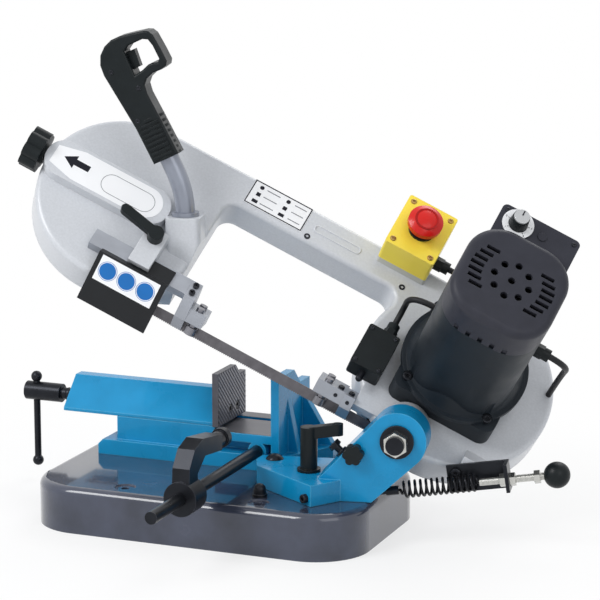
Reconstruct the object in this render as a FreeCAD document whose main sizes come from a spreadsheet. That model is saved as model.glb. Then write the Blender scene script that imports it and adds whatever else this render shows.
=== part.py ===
"""Portable band saw on a bench base: vise, swivel arm and a tilting saw head.

World frame: origin at the middle of the base's underside, +X from the vise handle to the motor,
+Y from the cut-off side to the stock side, +Z up. Millimetres and degrees.
"""
import FreeCAD, Part
import math
import os
import Sketcher
from FreeCAD import Placement, Rotation, Vector

SIZES = {
    # pose of the photographed saw
    "mitre_angle": 12.0,
    "tilt_angle": 26.9,
    "bow_angle": 45.0,
    # fits and cuts
    "running_gap": 0.05,
    "seat_gap": 0.3,
    "overrun": 2.0,
    "sweep_error_share": 0.02,
    # base tray
    "base_length": 392.0,
    "base_width": 246.0,
    "base_height": 52.0,
    "base_corner_radius": 62.0,
    "base_edge_round": 9.0,
    "base_wall": 5.0,
    "bench_bolt_spacing_x": 160.0,
    "bench_bolt_spacing_y": 190.0,
    "bench_bolt_radius": 4.5,
    "bench_post_radius": 10.0,
    "bench_dimple_radius": 12.0,
    "bench_dimple_depth": 1.5,
    # swivel bolt in the base
    "swivel_x": 62.0,
    "swivel_y": -5.0,
    "swivel_bolt_radius": 8.0,
    "swivel_bolt_depth": 32.0,
    "swivel_boss_radius": 17.0,
    "swivel_cap_radius": 10.0,
    "swivel_cap_height": 6.0,
    # mitre stop on the base
    "mitre_stop_x": 72.0,
    "mitre_stop_y": -72.0,
    "mitre_stop_radius": 7.0,
    "mitre_stop_foot_radius": 8.5,
    "mitre_stop_foot_height": 3.0,
    "mitre_stop_height": 14.5,
    # vise bed with its fixed jaw
    "bed_front_y": 20.0,
    "bed_back_y": 113.0,
    "bed_foot_left_x": -170.0,
    "bed_foot_right_x": 62.0,
    "bed_foot_height": 18.0,
    "bed_foot_bevel": 6.0,
    "guide_left_x": -148.0,
    "guide_inset": 6.0,
    "table_left_x": -25.0,
    "table_thickness": 10.0,
    "table_web_inset": 22.0,
    "jaw_face_x": 47.0,
    "fixed_jaw_thickness": 10.0,
    "fixed_jaw_step_y": 84.0,
    "rib_thickness": 10.0,
    "rear_rib_y": 90.0,
    "rear_rib_reach": 38.0,
    "front_rib_y": 46.0,
    "front_rib_reach": 13.0,
    "rib_drop": 12.0,
    "tongue_slot_y": 87.5,
    "tongue_slot_width": 10.0,
    "tongue_slot_depth": 16.0,
    "nut_left_x": -133.0,
    "nut_length": 30.0,
    "nut_width": 24.0,
    "bed_bolt_radius": 4.0,
    "bed_bolt_grip": 14.0,
    "bed_bolt_head_width": 13.0,
    "bed_bolt_head_height": 5.5,
    "bed_bolt_inset_x": 20.0,
    "bed_bolt_inset_y": 16.0,
    # movable jaw
    "jaw_left_x": -217.0,
    "jaw_right_x": -25.0,
    "jaw_front_y": 26.0,
    "jaw_back_y": 106.0,
    "jaw_lip_height": 3.5,
    "jaw_wall": 12.0,
    "jaw_cavity_width": 32.0,
    "tongue_length": 120.0,
    "tongue_end_gap": 32.0,
    "jaw_plate_thickness": 7.0,
    "jaw_plate_front_y": 20.0,
    "jaw_plate_back_y": 100.0,
    "jaw_plate_step_y": 84.0,
    "jaw_screw_radius": 3.0,
    "jaw_screw_head_radius": 5.5,
    "jaw_screw_head_height": 5.0,
    "jaw_screw_depth": 9.0,
    "jaw_screw_spacing": 20.0,
    # vise screw and its bar
    "screw_y": 66.0,
    "screw_radius": 7.0,
    "screw_head_left_x": -285.0,
    "screw_head_right_x": -239.0,
    "screw_head_radius": 11.0,
    "screw_collar_radius": 9.0,
    "screw_collar_length": 5.0,
    "screw_tip_x": -42.0,
    "bar_x": -273.0,
    "bar_radius": 4.0,
    "bar_ball_radius": 6.5,
    "bar_reach": 85.0,
    # length stop
    "stop_rod_x": 30.0,
    "stop_rod_radius": 7.0,
    "stop_rod_front_y": -262.0,
    "stop_rod_seat": 20.0,
    "stop_boss_radius": 11.0,
    "stop_ring_front_y": -190.0,
    "stop_ring_back_y": -162.0,
    "stop_ring_radius": 19.0,
    "stop_arm_width": 20.0,
    "stop_tip_radius": 9.0,
    "stop_tip_front_y": -100.0,
    "stop_tip_length": 16.0,
    "stop_tip_head_radius": 11.0,
    "stop_tip_head_height": 8.0,
    "stop_tip_stud_radius": 4.0,
    "stop_tip_stud_depth": 14.0,
    # swivel arm
    "arm_bottom_gap": 0.3,
    "arm_heel_u": 120.0,
    "pivot_u": 147.7,
    "ear_radius": 32.0,
    "ear_front": 73.0,
    "ear_back": 33.0,
    "ear_slope_u": 61.0,
    "pivot_radius": 10.0,
    "bush_radius": 14.0,
    "down_stop_radius": 4.0,
    "down_stop_head_width": 13.0,
    "down_stop_head_height": 5.5,
    "down_stop_stand": 9.0,
    "down_stop_depth": 18.0,
    "down_stop_share": 0.38,
    "anchor_front": 48.0,
    "anchor_u": 147.0,
    "anchor_radius": 5.0,
    "anchor_stud_radius": 3.5,
    "anchor_depth": 14.0,
    "anchor_reach": 28.0,
    "spring_angle": 8.4,
    "spring_seat": 6.0,
    # mitre clamp lever
    "lever_u": 46.0,
    "lever_front": 42.0,
    "lever_stud_radius": 5.0,
    "lever_foot_radius": 13.0,
    "lever_foot_height": 3.0,
    "lever_hub_radius": 9.5,
    "lever_arm_length": 32.0,
    "lever_arm_height": 13.0,
    "lever_arm_rise": 10.0,
    "lever_arm_width": 12.0,
    # star knob on the ear
    "star_u": 101.0,
    "star_radius": 11.5,
    "star_lobe_radius": 4.5,
    "star_thickness": 11.0,
    "star_stud_radius": 4.0,
    "star_stud_depth": 15.0,
    # blade and wheels
    "blade_length": 1435.0,
    "blade_width": 13.0,
    "blade_thickness": 0.65,
    "blade_drop": 22.5,
    "tooth_pitch": 4.2,
    "tooth_depth": 1.6,
    "wheel_radius": 93.1,
    "drive_wheel_x": 25.0,
    "wheel_width": 17.0,
    "wheel_rim": 12.0,
    "wheel_web": 6.0,
    "wheel_hub_radius": 20.0,
    "wheel_flange": 0.8,
    "wheel_flange_width": 2.0,
    "wheel_hole_radius": 14.0,
    "wheel_hole_circle_radius": 52.0,
    # bow frame, covers and bosses
    "house_w": 95.0,
    "left_house_x": -394.0,
    "left_house_radius": 105.0,
    "right_house_radius": 112.0,
    "bow_front": 27.0,
    "bow_rear": 13.0,
    "bow_wall": 5.0,
    "cover_thickness": 3.0,
    "beam_height": 44.0,
    "throat_left_x": -297.5,
    "throat_foot_w": 24.0,
    "throat_foot_run": 22.0,
    "house_low_w": 12.0,
    "throat_round": 16.0,
    "bow_edge_round": 6.0,
    "blade_slot_height": 22.0,
    "guide_slot_front": 10.0,
    "tension_house_left_x": -500.0,
    "tension_house_right_x": -345.0,
    "tension_house_half_width": 24.0,
    "tension_house_height": 14.0,
    "tension_house_wall": 8.0,
    "tension_channel_half_width": 14.0,
    "tension_channel_height": 9.0,
    "tension_channel_right_x": -362.0,
    "pivot_boss_radius": 28.0,
    "pivot_boss_gap": 0.6,
    "pivot_boss_back": 6.0,
    "guide_lug_left_x": -62.0,
    "guide_lug_right_x": -10.0,
    "guide_lug_low_w": 2.0,
    "guide_lug_high_w": 46.0,
    "spring_lug_x": 72.0,
    "spring_lug_length": 36.0,
    "spring_lug_low_z": -8.0,
    "spring_lug_high_z": 10.0,
    "spring_lug_front": 33.0,
    "spring_lug_back": 6.0,
    "cover_screw_radius": 2.0,
    "cover_screw_depth": 12.0,
    "cover_post_radius": 4.0,
    # tension slide, screw and knob
    "tension_travel": 4.0,
    "wheel_relief_gap": 0.6,
    "tension_block_length": 56.0,
    "tension_block_lead": 34.0,
    "tension_screw_radius": 5.0,
    "tension_screw_n": 28.5,
    "tension_screw_reach": 26.0,
    "idler_axle_radius": 8.0,
    "tension_knob_radius": 24.5,
    "tension_knob_lobe_radius": 9.0,
    "tension_knob_length": 20.0,
    "tension_knob_hub_radius": 12.0,
    "tension_knob_hub_length": 3.0,
    # gearbox and motor
    "gearbox_half_width": 62.0,
    "gearbox_corner_radius": 12.0,
    "gearbox_front": 58.0,
    "gearbox_floor": 3.0,
    "gear_module": 1.25,
    "gear_pressure_angle": 20.0,
    "gear_root_share": 1.25,
    "gear_pinion_teeth": 11,
    "gear_wheel_teeth": 45,
    "gear_backlash": 0.25,
    "gear_angle": 45.0,
    "output_gear_low": 32.0,
    "gear_width": 9.0,
    "gear_gap": 3.0,
    "gear_cavity_gap": 2.0,
    "drive_shaft_radius": 10.0,
    "drive_bearing_radius": 16.0,
    "drive_bearing_low": 13.0,
    "drive_boss_radius": 23.0,
    "counter_shaft_radius": 5.0,
    "motor_ring_radius": 72.0,
    "motor_ring_height": 7.0,
    "motor_skirt_radius": 67.0,
    "motor_skirt_height": 16.0,
    "motor_half_width": 58.0,
    "motor_corner_radius": 40.0,
    "motor_bore_radius": 53.0,
    "motor_wall": 5.0,
    "motor_plate": 6.0,
    "motor_split": 214.0,
    "motor_end": 258.0,
    "motor_cap_round": 9.0,
    "motor_vent_radius": 4.0,
    "motor_vent_circle_radius": 20.0,
    "motor_slot_width": 4.5,
    "motor_slot_length": 15.0,
    "motor_slot_pitch": 8.0,
    "motor_slot_offset": 40.0,
    "motor_slot_step": 0.9,
    "motor_notch_width": 5.0,
    "motor_notch_height": 9.0,
    "motor_notch_depth": 3.0,
    "motor_notch_pitch": 14.0,
    "motor_bearing_radius": 11.0,
    "motor_bearing_width": 6.0,
    "motor_boss_radius": 15.0,
    "motor_boss_depth": 10.0,
    "motor_shaft_radius": 6.0,
    "armature_radius": 36.0,
    "armature_low": 98.0,
    "armature_length": 66.0,
    "stator_gap": 1.5,
    "commutator_radius": 15.0,
    "commutator_length": 14.0,
    "fan_radius": 46.0,
    "fan_length": 8.0,
    "fan_gap": 8.0,
    "case_screw_radius": 3.0,
    "case_screw_head_radius": 5.5,
    "case_screw_head_height": 4.0,
    "case_screw_depth": 16.0,
    # control box with its speed dial
    "control_left_x": -20.0,
    "control_length": 92.0,
    "control_top_w": 188.0,
    "control_low_w": 140.0,
    "control_rear_n": 176.0,
    "control_front_n": 240.0,
    "control_round": 6.0,
    "dial_x": 3.0,
    "dial_w": 171.0,
    "dial_radius": 18.0,
    "dial_thickness": 1.2,
    "speed_knob_radius": 10.0,
    "speed_knob_top_share": 0.85,
    "speed_knob_height": 16.0,
    "speed_stem_radius": 3.0,
    "speed_stem_depth": 10.0,
    "blank_disc_x": 32.0,
    "blank_disc_radius": 5.0,
    # emergency stop
    "estop_left_x": -119.0,
    "estop_length": 61.0,
    "estop_low_w": 178.0,
    "estop_width": 70.0,
    "estop_base_height": 10.0,
    "estop_lid_height": 38.0,
    "estop_wall": 3.0,
    "estop_round": 3.0,
    "estop_screw_inset": 7.0,
    "estop_stem_radius": 11.0,
    "estop_stem_height": 14.0,
    "estop_head_radius": 20.0,
    "estop_head_height": 13.0,
    "estop_head_crown": 7.0,
    # limit switch
    "switch_left_x": -88.0,
    "switch_length": 38.0,
    "switch_low_w": 34.0,
    "switch_width": 54.0,
    "switch_height": 26.0,
    "switch_round": 3.0,
    "plunger_radius": 4.0,
    "plunger_length": 16.0,
    "plunger_x": -70.0,
    "plunger_n": 42.0,
    "plunger_nose": 9.0,
    # glands and leads
    "gland_radius": 8.0,
    "gland_nut_radius": 7.0,
    "gland_length": 9.0,
    "gland_nut_length": 8.0,
    "lead_radius": 3.5,
    "estop_gland_w": 205.0,
    "estop_gland_n": 40.0,
    "switch_gland_x": -64.0,
    "switch_gland_n": 42.0,
    "motor_gland_w": 100.0,
    "motor_gland_n": 150.0,
    "lead_bend": 16.0,
    "lead_top_w": 170.0,
    "lead_rise_x": 8.0,
    "lead_rise_n": 90.0,
    "switch_lead_w": 126.0,
    "switch_lead_n": 84.0,
    "switch_lead_x": -32.0,
    "motor_lead_x": 124.0,
    "motor_lead_w": 130.0,
    "motor_lead_n": 80.0,
    # handle
    "handle_y": 42.0,
    "handle_foot_x": -318.0,
    "handle_foot_z": 60.0,
    "handle_foot_angle": 27.3,
    "grip_x": -374.0,
    "grip_z": 130.0,
    "grip_angle": 52.0,
    "tube_radius": 11.0,
    "tube_bend_radius": 120.0,
    "tube_start": 6.0,
    "tube_in_grip": 56.0,
    "collar_half_width": 20.0,
    "collar_corner_radius": 7.0,
    "collar_reach": 22.0,
    "collar_ring_radius": 15.5,
    "collar_ring_height": 4.0,
    "grip_thickness": 31.0,
    "grip_round": 2.6,
    "sleeve_radius": 16.5,
    "sleeve_length": 52.0,
    "rib_count": 8,
    "trigger_low": 105.0,
    "trigger_length": 20.0,
    "trigger_reach": 12.0,
    "trigger_depth": 8.0,
    "trigger_width": 12.0,
    # adjustable left guide
    "guide_bar_left_x": -404.0,
    "guide_bar_right_x": -283.0,
    "guide_bar_low_w": 15.0,
    "guide_bar_width": 20.0,
    "guide_bar_thickness": 13.0,
    "guide_block_length": 13.0,
    "guide_block_half_width": 15.0,
    "guide_nose_length": 20.0,
    "guide_nose_height": 16.0,
    "guide_nose_low_z": -12.0,
    "guide_low_z": -26.0,
    "guide_jaw_half_width": 8.0,
    "guide_slot_width": 2.0,
    "guide_bearing_radius": 7.0,
    "guide_bearing_height": 9.0,
    "guide_bearing_drop": 4.0,
    "guide_stud_radius": 2.5,
    "guide_stud_nut_radius": 4.5,
    "guide_stud_nut_height": 4.0,
    "guide_side_gap": 0.1,
    "guard_left_x": -387.0,
    "guard_length": 84.0,
    "guard_thickness": 2.5,
    "guard_low_z": -43.0,
    "guard_high_z": 17.5,
    "guard_tab_width": 17.0,
    "guard_tab_length": 40.0,
    "guard_fold_w": 2.0,
    "guide_clamp_left_x": -356.0,
    "guide_clamp_length": 26.0,
    "guide_clamp_width": 50.0,
    "guide_clamp_height": 6.5,
    "guide_lever_radius": 9.0,
    "guide_lever_height": 12.0,
    "guide_lever_length": 44.0,
    "guide_lever_width": 11.0,
    "guide_lever_stud_radius": 4.0,
    "guide_lever_angle": -12.0,
    # fixed right guide
    "right_guide_face_x": -62.0,
    "right_guide_length": 13.0,
    "right_guide_nose_length": 34.0,
    "right_guide_front": 5.0,
    # head pivot
    "pivot_thread_end": 93.0,
    "pivot_inner_front": 10.0,
    "washer_radius": 18.5,
    "washer_thickness": 3.0,
    "nut_width_flats": 24.0,
    "nut_height": 13.0,
    # counter spring with its bracket and adjuster
    "bracket_left_u": 200.0,
    "bracket_length": 69.0,
    "bracket_height": 31.0,
    "bracket_drop": 12.0,
    "bracket_thickness": 4.0,
    "bracket_flange": 22.0,
    "adjuster_left_u": 236.0,
    "adjuster_right_u": 316.0,
    "adjuster_radius": 4.0,
    "adjuster_nut_width": 13.0,
    "adjuster_nut_height": 6.5,
    "adjuster_lock_u": 296.0,
    "adjuster_knob_radius": 14.5,
    "spring_radius": 8.5,
    "spring_wire_radius": 1.5,
    "spring_turns": 13,
    "spring_end_run": 9.0,
    "least_wire_gap": 0.4,
}

# Heights above the top of the base, which the sheet adds to the base's own height
ABOVE_BASE = {
    "guide_top_z": 45.5,
    "table_top_z": 42.0,
    "fixed_jaw_top_z": 110.0,
    "fixed_jaw_low_z": 92.0,
    "nut_top_z": 64.5,
    "jaw_top_z": 82.0,
    "jaw_cavity_top_z": 67.0,
    "jaw_plate_bottom_z": 46.0,
    "jaw_plate_top_z": 108.0,
    "jaw_plate_low_z": 96.0,
    "jaw_screw_z": 60.0,
    "screw_z": 55.0,
    "stop_rod_z": 23.0,
    "stop_tip_z": 64.0,
    "arm_top_z": 24.0,
    "pivot_z": 69.7,
    "anchor_z": 9.0,
    "lever_top_z": 74.0,
    "star_z": 55.0,
}
for alias, height in ABOVE_BASE.items():
    SIZES[alias] = SIZES["base_height"] + height

# Outlines: swivel arm (along, to the front), length stop (y, height on the base), grip (along, across)
OUTLINES = {
    "arm_plate": [(-16, -14), (95, -14), (120, 33), (120, 73), (86, 73), (81.6, 77.7), (58.2, 101.3),
                  (-14.5, 29.6), (-20, 5)],
    "stop_arch": [(-188, 34), (-165, 34), (-165, 46), (-145, 61), (-100, 56), (-100, 74), (-150, 81),
                  (-172, 74), (-186, 56)],
    "grip": [(0, -15.5), (45, -17), (85, -21.5), (112, -24.5), (124, -23.5), (134, -18.5), (141, -10),
             (144.5, 0), (144.5, 10), (142, 24), (139, 38), (136.5, 43), (131, 46), (112, 47.5), (98, 48),
             (93.5, 45), (92, 38), (92.5, 28), (89.5, 19), (84, 13.5), (74, 12), (46, 13.5), (0, 15.5)],
    "grip_window": [(98.5, 8), (127, 8.5), (131, 15), (131, 33), (128, 38.5), (120, 40.5), (104, 41),
                    (101, 38), (103, 32), (103, 27), (100, 18)],
}
for shape_name, points in OUTLINES.items():
    for index, (along, across) in enumerate(points):
        SIZES[f"{shape_name}_{index}_along"] = float(along)
        SIZES[f"{shape_name}_{index}_across"] = float(across)

X_AXIS = Vector(1, 0, 0)
Y_AXIS = Vector(0, 1, 0)
Z_AXIS = Vector(0, 0, 1)
WORLD = Placement()
ANTICLOCKWISE, CLOCKWISE = 1, -1

doc = FreeCAD.newDocument("portable_band_saw")
sheet = doc.addObject("Spreadsheet::Sheet", "sizes")
for row, (alias, number) in enumerate(SIZES.items(), start=1):
    sheet.set(f"A{row}", alias)
    sheet.set(f"B{row}", f"=base_height + {ABOVE_BASE[alias]}" if alias in ABOVE_BASE else str(number))
    sheet.setAlias(f"B{row}", alias)
doc.recompute()


class Size:
    """A size with its number and the sheet expression that gives it."""

    def __init__(self, value, text):
        self.value = value
        self.text = text

    def __add__(self, other):
        return joined(self, other, "+", lambda a, b: a + b)

    def __radd__(self, other):
        return joined(other, self, "+", lambda a, b: a + b)

    def __sub__(self, other):
        return joined(self, other, "-", lambda a, b: a - b)

    def __rsub__(self, other):
        return joined(other, self, "-", lambda a, b: a - b)

    def __mul__(self, other):
        return joined(self, other, "*", lambda a, b: a * b)

    def __rmul__(self, other):
        return joined(other, self, "*", lambda a, b: a * b)

    def __truediv__(self, other):
        return joined(self, other, "/", lambda a, b: a / b)

    def __neg__(self):
        return joined(0, self, "-", lambda a, b: a - b)


def size(number):
    """A plain number as a size."""
    return number if isinstance(number, Size) else Size(float(number), f"({float(number):.9g})")


def joined(left, right, sign, rule):
    left, right = size(left), size(right)
    return Size(rule(left.value, right.value), f"({left.text} {sign} {right.text})")


def number(value):
    return value.value if isinstance(value, Size) else float(value)


class Sheet:
    """The sheet's cells by name."""

    def __getattr__(self, name):
        return Size(SIZES[name], f"sizes.{name}")


s = Sheet()


def cosine(angle):
    return math.cos(math.radians(number(angle)))


def sine(angle):
    return math.sin(math.radians(number(angle)))


# Frames: arm turned by the mitre, head tilted about its pivot, bow leaning back about the blade
ARM = Placement(Vector(SIZES["swivel_x"], SIZES["swivel_y"], 0), Rotation(Z_AXIS, SIZES["mitre_angle"]))
HEAD = ARM * Placement(Vector(SIZES["pivot_u"], 0, SIZES["pivot_z"]), Rotation(Y_AXIS, SIZES["tilt_angle"]))
BOW = HEAD * Placement(Vector(0, 0, -SIZES["blade_drop"]), Rotation(X_AXIS, SIZES["bow_angle"]))
SPRING_LINE = Placement(Vector(SIZES["anchor_u"], -SIZES["anchor_front"], SIZES["anchor_z"]),
                        Rotation(Y_AXIS, -SIZES["spring_angle"]))
TO_X = Rotation(Y_AXIS, 90)
TO_Y = Rotation(X_AXIS, -90)
TO_FRONT = Rotation(X_AXIS, 90)
UPRIGHT = Rotation(X_AXIS, -SIZES["bow_angle"])

NODES = []
PRIMITIVES = ("Part::Box", "Part::Cylinder", "Part::Cone", "Part::Sphere", "Part::Torus", "Part::Prism",
              "PartDesign::Body")


def bind(item, name, value):
    """Sets a property and ties it to the sheet."""
    setattr(item, name, number(value))
    if isinstance(value, Size):
        item.setExpression(name, value.text)


def put(item, at=(0, 0, 0), turn=None):
    """Places an item in its own frame."""
    item.Placement = Placement(Vector(*[number(c) for c in at]), turn or Rotation())
    for axis, place in zip("xyz", at):
        if isinstance(place, Size):
            item.setExpression(f"Placement.Base.{axis}", place.text)
    return item


def moved(item, where):
    """Moves a simple piece from its own frame into another."""
    local = item.Placement
    for axis in "xyz":
        item.setExpression(f"Placement.Base.{axis}", None)
    item.Placement = where * local
    return item


def node(label, item, where=WORLD):
    """Names a finished piece and moves it from its own frame into the world."""
    if item.TypeId in PRIMITIVES:
        moved(item, where)
    else:
        item.Placement = where
    item.Label = label
    NODES.append(item)
    return item


def box(length, width, height, at=(0, 0, 0), turn=None):
    item = doc.addObject("Part::Box", "box")
    for name, value in zip(("Length", "Width", "Height"), (length, width, height)):
        bind(item, name, value)
    return put(item, at, turn)


def block(low, high):
    """A box between two corners."""
    return box(*[b - a for a, b in zip(low, high)], at=low)


def cylinder(radius, height, at=(0, 0, 0), turn=None):
    item = doc.addObject("Part::Cylinder", "cylinder")
    bind(item, "Radius", radius)
    bind(item, "Height", height)
    return put(item, at, turn)


def cone(low_radius, high_radius, height, at=(0, 0, 0), turn=None):
    item = doc.addObject("Part::Cone", "cone")
    bind(item, "Radius1", low_radius)
    bind(item, "Radius2", high_radius)
    bind(item, "Height", height)
    return put(item, at, turn)


def ball(radius, at=(0, 0, 0)):
    item = doc.addObject("Part::Sphere", "ball")
    bind(item, "Radius", radius)
    return put(item, at)


def hexagon(across_flats, height, at=(0, 0, 0), turn=None):
    item = doc.addObject("Part::Prism", "hexagon")
    item.Polygon = 6
    bind(item, "Circumradius", across_flats / math.sqrt(3))
    bind(item, "Height", height)
    return put(item, at, turn)


def fuse(*items):
    item = doc.addObject("Part::MultiFuse", "fused")
    item.Shapes = list(items)
    item.Refine = True
    return item


def cut(base, *tools):
    item = doc.addObject("Part::Cut", "cut")
    item.Base = base
    item.Tool = tools[0] if len(tools) == 1 else fuse(*tools)
    item.Refine = True
    return item


def common(*items):
    item = doc.addObject("Part::MultiCommon", "common")
    item.Shapes = list(items)
    return item


def group(*items):
    item = doc.addObject("Part::Compound", "group")
    item.Links = list(items)
    return item


def rounded(base, radius, chosen):
    """Rounds the edges of a piece that the test picks."""
    doc.recompute()
    edges = [i for i, edge in enumerate(base.Shape.Edges, start=1) if chosen(edge)]
    item = doc.addObject("Part::Fillet", "rounded")
    item.Base = base
    item.Edges = [(i, number(radius), number(radius)) for i in edges]
    return item


def made(shape):
    """A piece whose shape is worked out in code."""
    item = doc.addObject("Part::Feature", "made")
    item.Shape = shape
    return item


def arc_centre(start, end, radius, turn, large):
    chord = end - start
    rise = math.sqrt(max(radius ** 2 - (chord.Length / 2) ** 2, 0))
    left = Vector(-chord.y, chord.x, 0).normalize()
    return (start + end) / 2 + left * (rise * (-turn if large else turn))


def pin(sketch, geometry, end, point):
    """Ties a sketch point to its two sizes."""
    for kind, value, axis in (("DistanceX", point[0], -2), ("DistanceY", point[1], -1)):
        if number(value) == 0:
            sketch.addConstraint(Sketcher.Constraint("PointOnObject", geometry, end, axis))
            continue
        index = sketch.addConstraint(Sketcher.Constraint(kind, geometry, end, number(value)))
        if isinstance(value, Size):
            sketch.setExpression(f"Constraints[{index}]", value.text)


def draw_loop(sketch, loop):
    """A closed loop of points; a point may carry (radius, turn, large) for the arc that leads to it."""
    points = [Vector(number(p[0]), number(p[1]), 0) for p in loop]
    ends = []
    for i, start in enumerate(points):
        target = loop[(i + 1) % len(loop)]
        finish = points[(i + 1) % len(loop)]
        if len(target) == 2:
            index = sketch.addGeometry(Part.LineSegment(start, finish), False)
            ends.append((index, 1, 2))
            continue
        radius, turn = number(target[2]), target[3]
        centre = arc_centre(start, finish, radius, turn, len(target) > 4)
        a, b = (start, finish) if turn == ANTICLOCKWISE else (finish, start)
        low = math.atan2(a.y - centre.y, a.x - centre.x)
        high = math.atan2(b.y - centre.y, b.x - centre.x)
        high += 2 * math.pi if high < low else 0
        circle = Part.Circle(centre, Z_AXIS, radius)
        index = sketch.addGeometry(Part.ArcOfCircle(circle, low, high), False)
        ends.append((index, 1, 2) if turn == ANTICLOCKWISE else (index, 2, 1))
        bound = sketch.addConstraint(Sketcher.Constraint("Radius", index, radius))
        if isinstance(target[2], Size):
            sketch.setExpression(f"Constraints[{bound}]", target[2].text)
    for i, (index, first, last) in enumerate(ends):
        following = ends[(i + 1) % len(ends)]
        sketch.addConstraint(Sketcher.Constraint("Coincident", index, last, following[0], following[1]))
    for (index, first, last), point in zip(ends, loop):
        pin(sketch, index, first, point)


def draw_circle(sketch, circle):
    """A full circle given as (x, y, radius)."""
    centre = Vector(number(circle[0]), number(circle[1]), 0)
    index = sketch.addGeometry(Part.Circle(centre, Z_AXIS, number(circle[2])), False)
    bound = sketch.addConstraint(Sketcher.Constraint("Radius", index, number(circle[2])))
    if isinstance(circle[2], Size):
        sketch.setExpression(f"Constraints[{bound}]", circle[2].text)
    pin(sketch, index, 3, circle)


def new_sketch(body, plane, lift, loops, circles=()):
    sketch = body.newObject("Sketcher::SketchObject", "sketch")
    origin = [f for f in body.Origin.OriginFeatures if f.Role == plane][0]
    sketch.AttachmentSupport = [(origin, "")]
    sketch.MapMode = "FlatFace"
    sketch.AttachmentOffset = Placement(Vector(0, 0, number(lift)), Rotation())
    if isinstance(lift, Size):
        sketch.setExpression("AttachmentOffset.Base.z", lift.text)
    for loop in loops:
        draw_loop(sketch, loop)
    for circle in circles:
        draw_circle(sketch, circle)
    return sketch


def prism(loop, length, lift=0, plane="XY_Plane", holes=(), circles=()):
    """An outline pulled straight; on XZ_Plane it is pulled to the front, on YZ_Plane along +X."""
    body = doc.addObject("PartDesign::Body", "body")
    pad = body.newObject("PartDesign::Pad", "pad")
    pad.Profile = new_sketch(body, plane, lift, [loop, *holes], circles)
    bind(pad, "Length", length)
    return body


def turned(loop):
    """An outline of (radius, height) turned about the piece's own z axis."""
    body = doc.addObject("PartDesign::Body", "body")
    sketch = new_sketch(body, "XZ_Plane", 0, [loop])
    ring = body.newObject("PartDesign::Revolution", "ring")
    ring.Profile = sketch
    ring.ReferenceAxis = (sketch, ["V_Axis"])
    ring.Angle = 360
    return body


def rectangle(low, high):
    return [(low[0], low[1]), (high[0], low[1]), (high[0], high[1]), (low[0], high[1])]


def soft_rectangle(low, high, radius):
    """A rectangle with round corners."""
    (x0, y0), (x1, y1) = low, high
    return [(x0 + radius, y0, radius, ANTICLOCKWISE), (x1 - radius, y0),
            (x1, y0 + radius, radius, ANTICLOCKWISE), (x1, y1 - radius),
            (x1 - radius, y1, radius, ANTICLOCKWISE), (x0 + radius, y1),
            (x0, y1 - radius, radius, ANTICLOCKWISE), (x0, y0 + radius)]


def outline(name, flip=1):
    """A named outline from the sheet; flip -1 mirrors it across its length."""
    return [(getattr(s, f"{name}_{i}_along"), getattr(s, f"{name}_{i}_across") * flip)
            for i in range(len(OUTLINES[name]))]


def ring(outer, inner, height, at=(0, 0, 0), turn=None):
    """A plain ring about its own z axis."""
    return put(turned(rectangle((inner, 0), (outer, height))), at, turn)


def tangent_point(point, centre, radius, side):
    """Where the line from a point touches a circle, on the side +1 left or -1 right of the way to it."""
    dx, dy = point[0] - centre[0], point[1] - centre[1]
    angle = math.atan2(dy, dx) - side * math.acos(radius / math.hypot(dx, dy))
    return centre[0] + radius * math.cos(angle), centre[1] + radius * math.sin(angle)


def cap_radius(radius, rise):
    """The ball radius of a round cap from its own radius and rise."""
    return (radius * radius + rise * rise) / (rise * 2)


# Base, vise and length stop


def base_tray():
    half_x, half_y = s.base_length / 2, s.base_width / 2
    inner_x, inner_y = half_x - s.base_wall, half_y - s.base_wall
    top = SIZES["base_height"]
    floor_z = s.base_height - s.base_wall
    shell = prism(soft_rectangle((-half_x, -half_y), (half_x, half_y), s.base_corner_radius), s.base_height)
    shell = rounded(shell, s.base_edge_round, lambda edge: edge.BoundBox.ZMin > top / 2)
    hollow = prism(soft_rectangle((-inner_x, -inner_y), (inner_x, inner_y),
                                  s.base_corner_radius - s.base_wall), floor_z)
    posts, holes = [], []
    for side_x in (-1, 1):
        for side_y in (-1, 1):
            spot = (s.bench_bolt_spacing_x / 2 * side_x, s.bench_bolt_spacing_y / 2 * side_y)
            posts.append(cylinder(s.bench_post_radius, floor_z, (*spot, 0)))
            holes.append(cylinder(s.bench_bolt_radius, s.base_height + s.overrun, (*spot, 0)))
            holes.append(cylinder(s.bench_dimple_radius, s.bench_dimple_depth + s.overrun,
                                  (*spot, s.base_height - s.bench_dimple_depth)))
    posts.append(cylinder(s.swivel_boss_radius, floor_z, (s.swivel_x, s.swivel_y, 0)))
    holes.append(cylinder(s.swivel_bolt_radius + s.running_gap, s.base_height + s.overrun,
                          (s.swivel_x, s.swivel_y, 0)))
    below = cylinder(s.swivel_boss_radius + s.overrun, s.base_height - s.swivel_bolt_depth,
                     (s.swivel_x, s.swivel_y, 0))
    holes += [cylinder(s.bed_bolt_radius + s.running_gap, s.base_height, (*spot, s.overrun))
              for spot in bed_bolt_spots()]
    holes.append(cylinder(s.bed_bolt_radius + s.running_gap, s.base_height,
                          (s.mitre_stop_x, s.mitre_stop_y, s.overrun)))
    node("base_tray", cut(cut(shell, cut(hollow, *posts)), below, *holes))


def bed_bolt_spots():
    return [(x, y) for x in (s.bed_foot_left_x + s.bed_bolt_inset_x,
                             s.bed_foot_right_x - s.bed_bolt_inset_x)
            for y in (s.bed_front_y + s.bed_bolt_inset_y, s.bed_back_y - s.bed_bolt_inset_y)]


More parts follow.
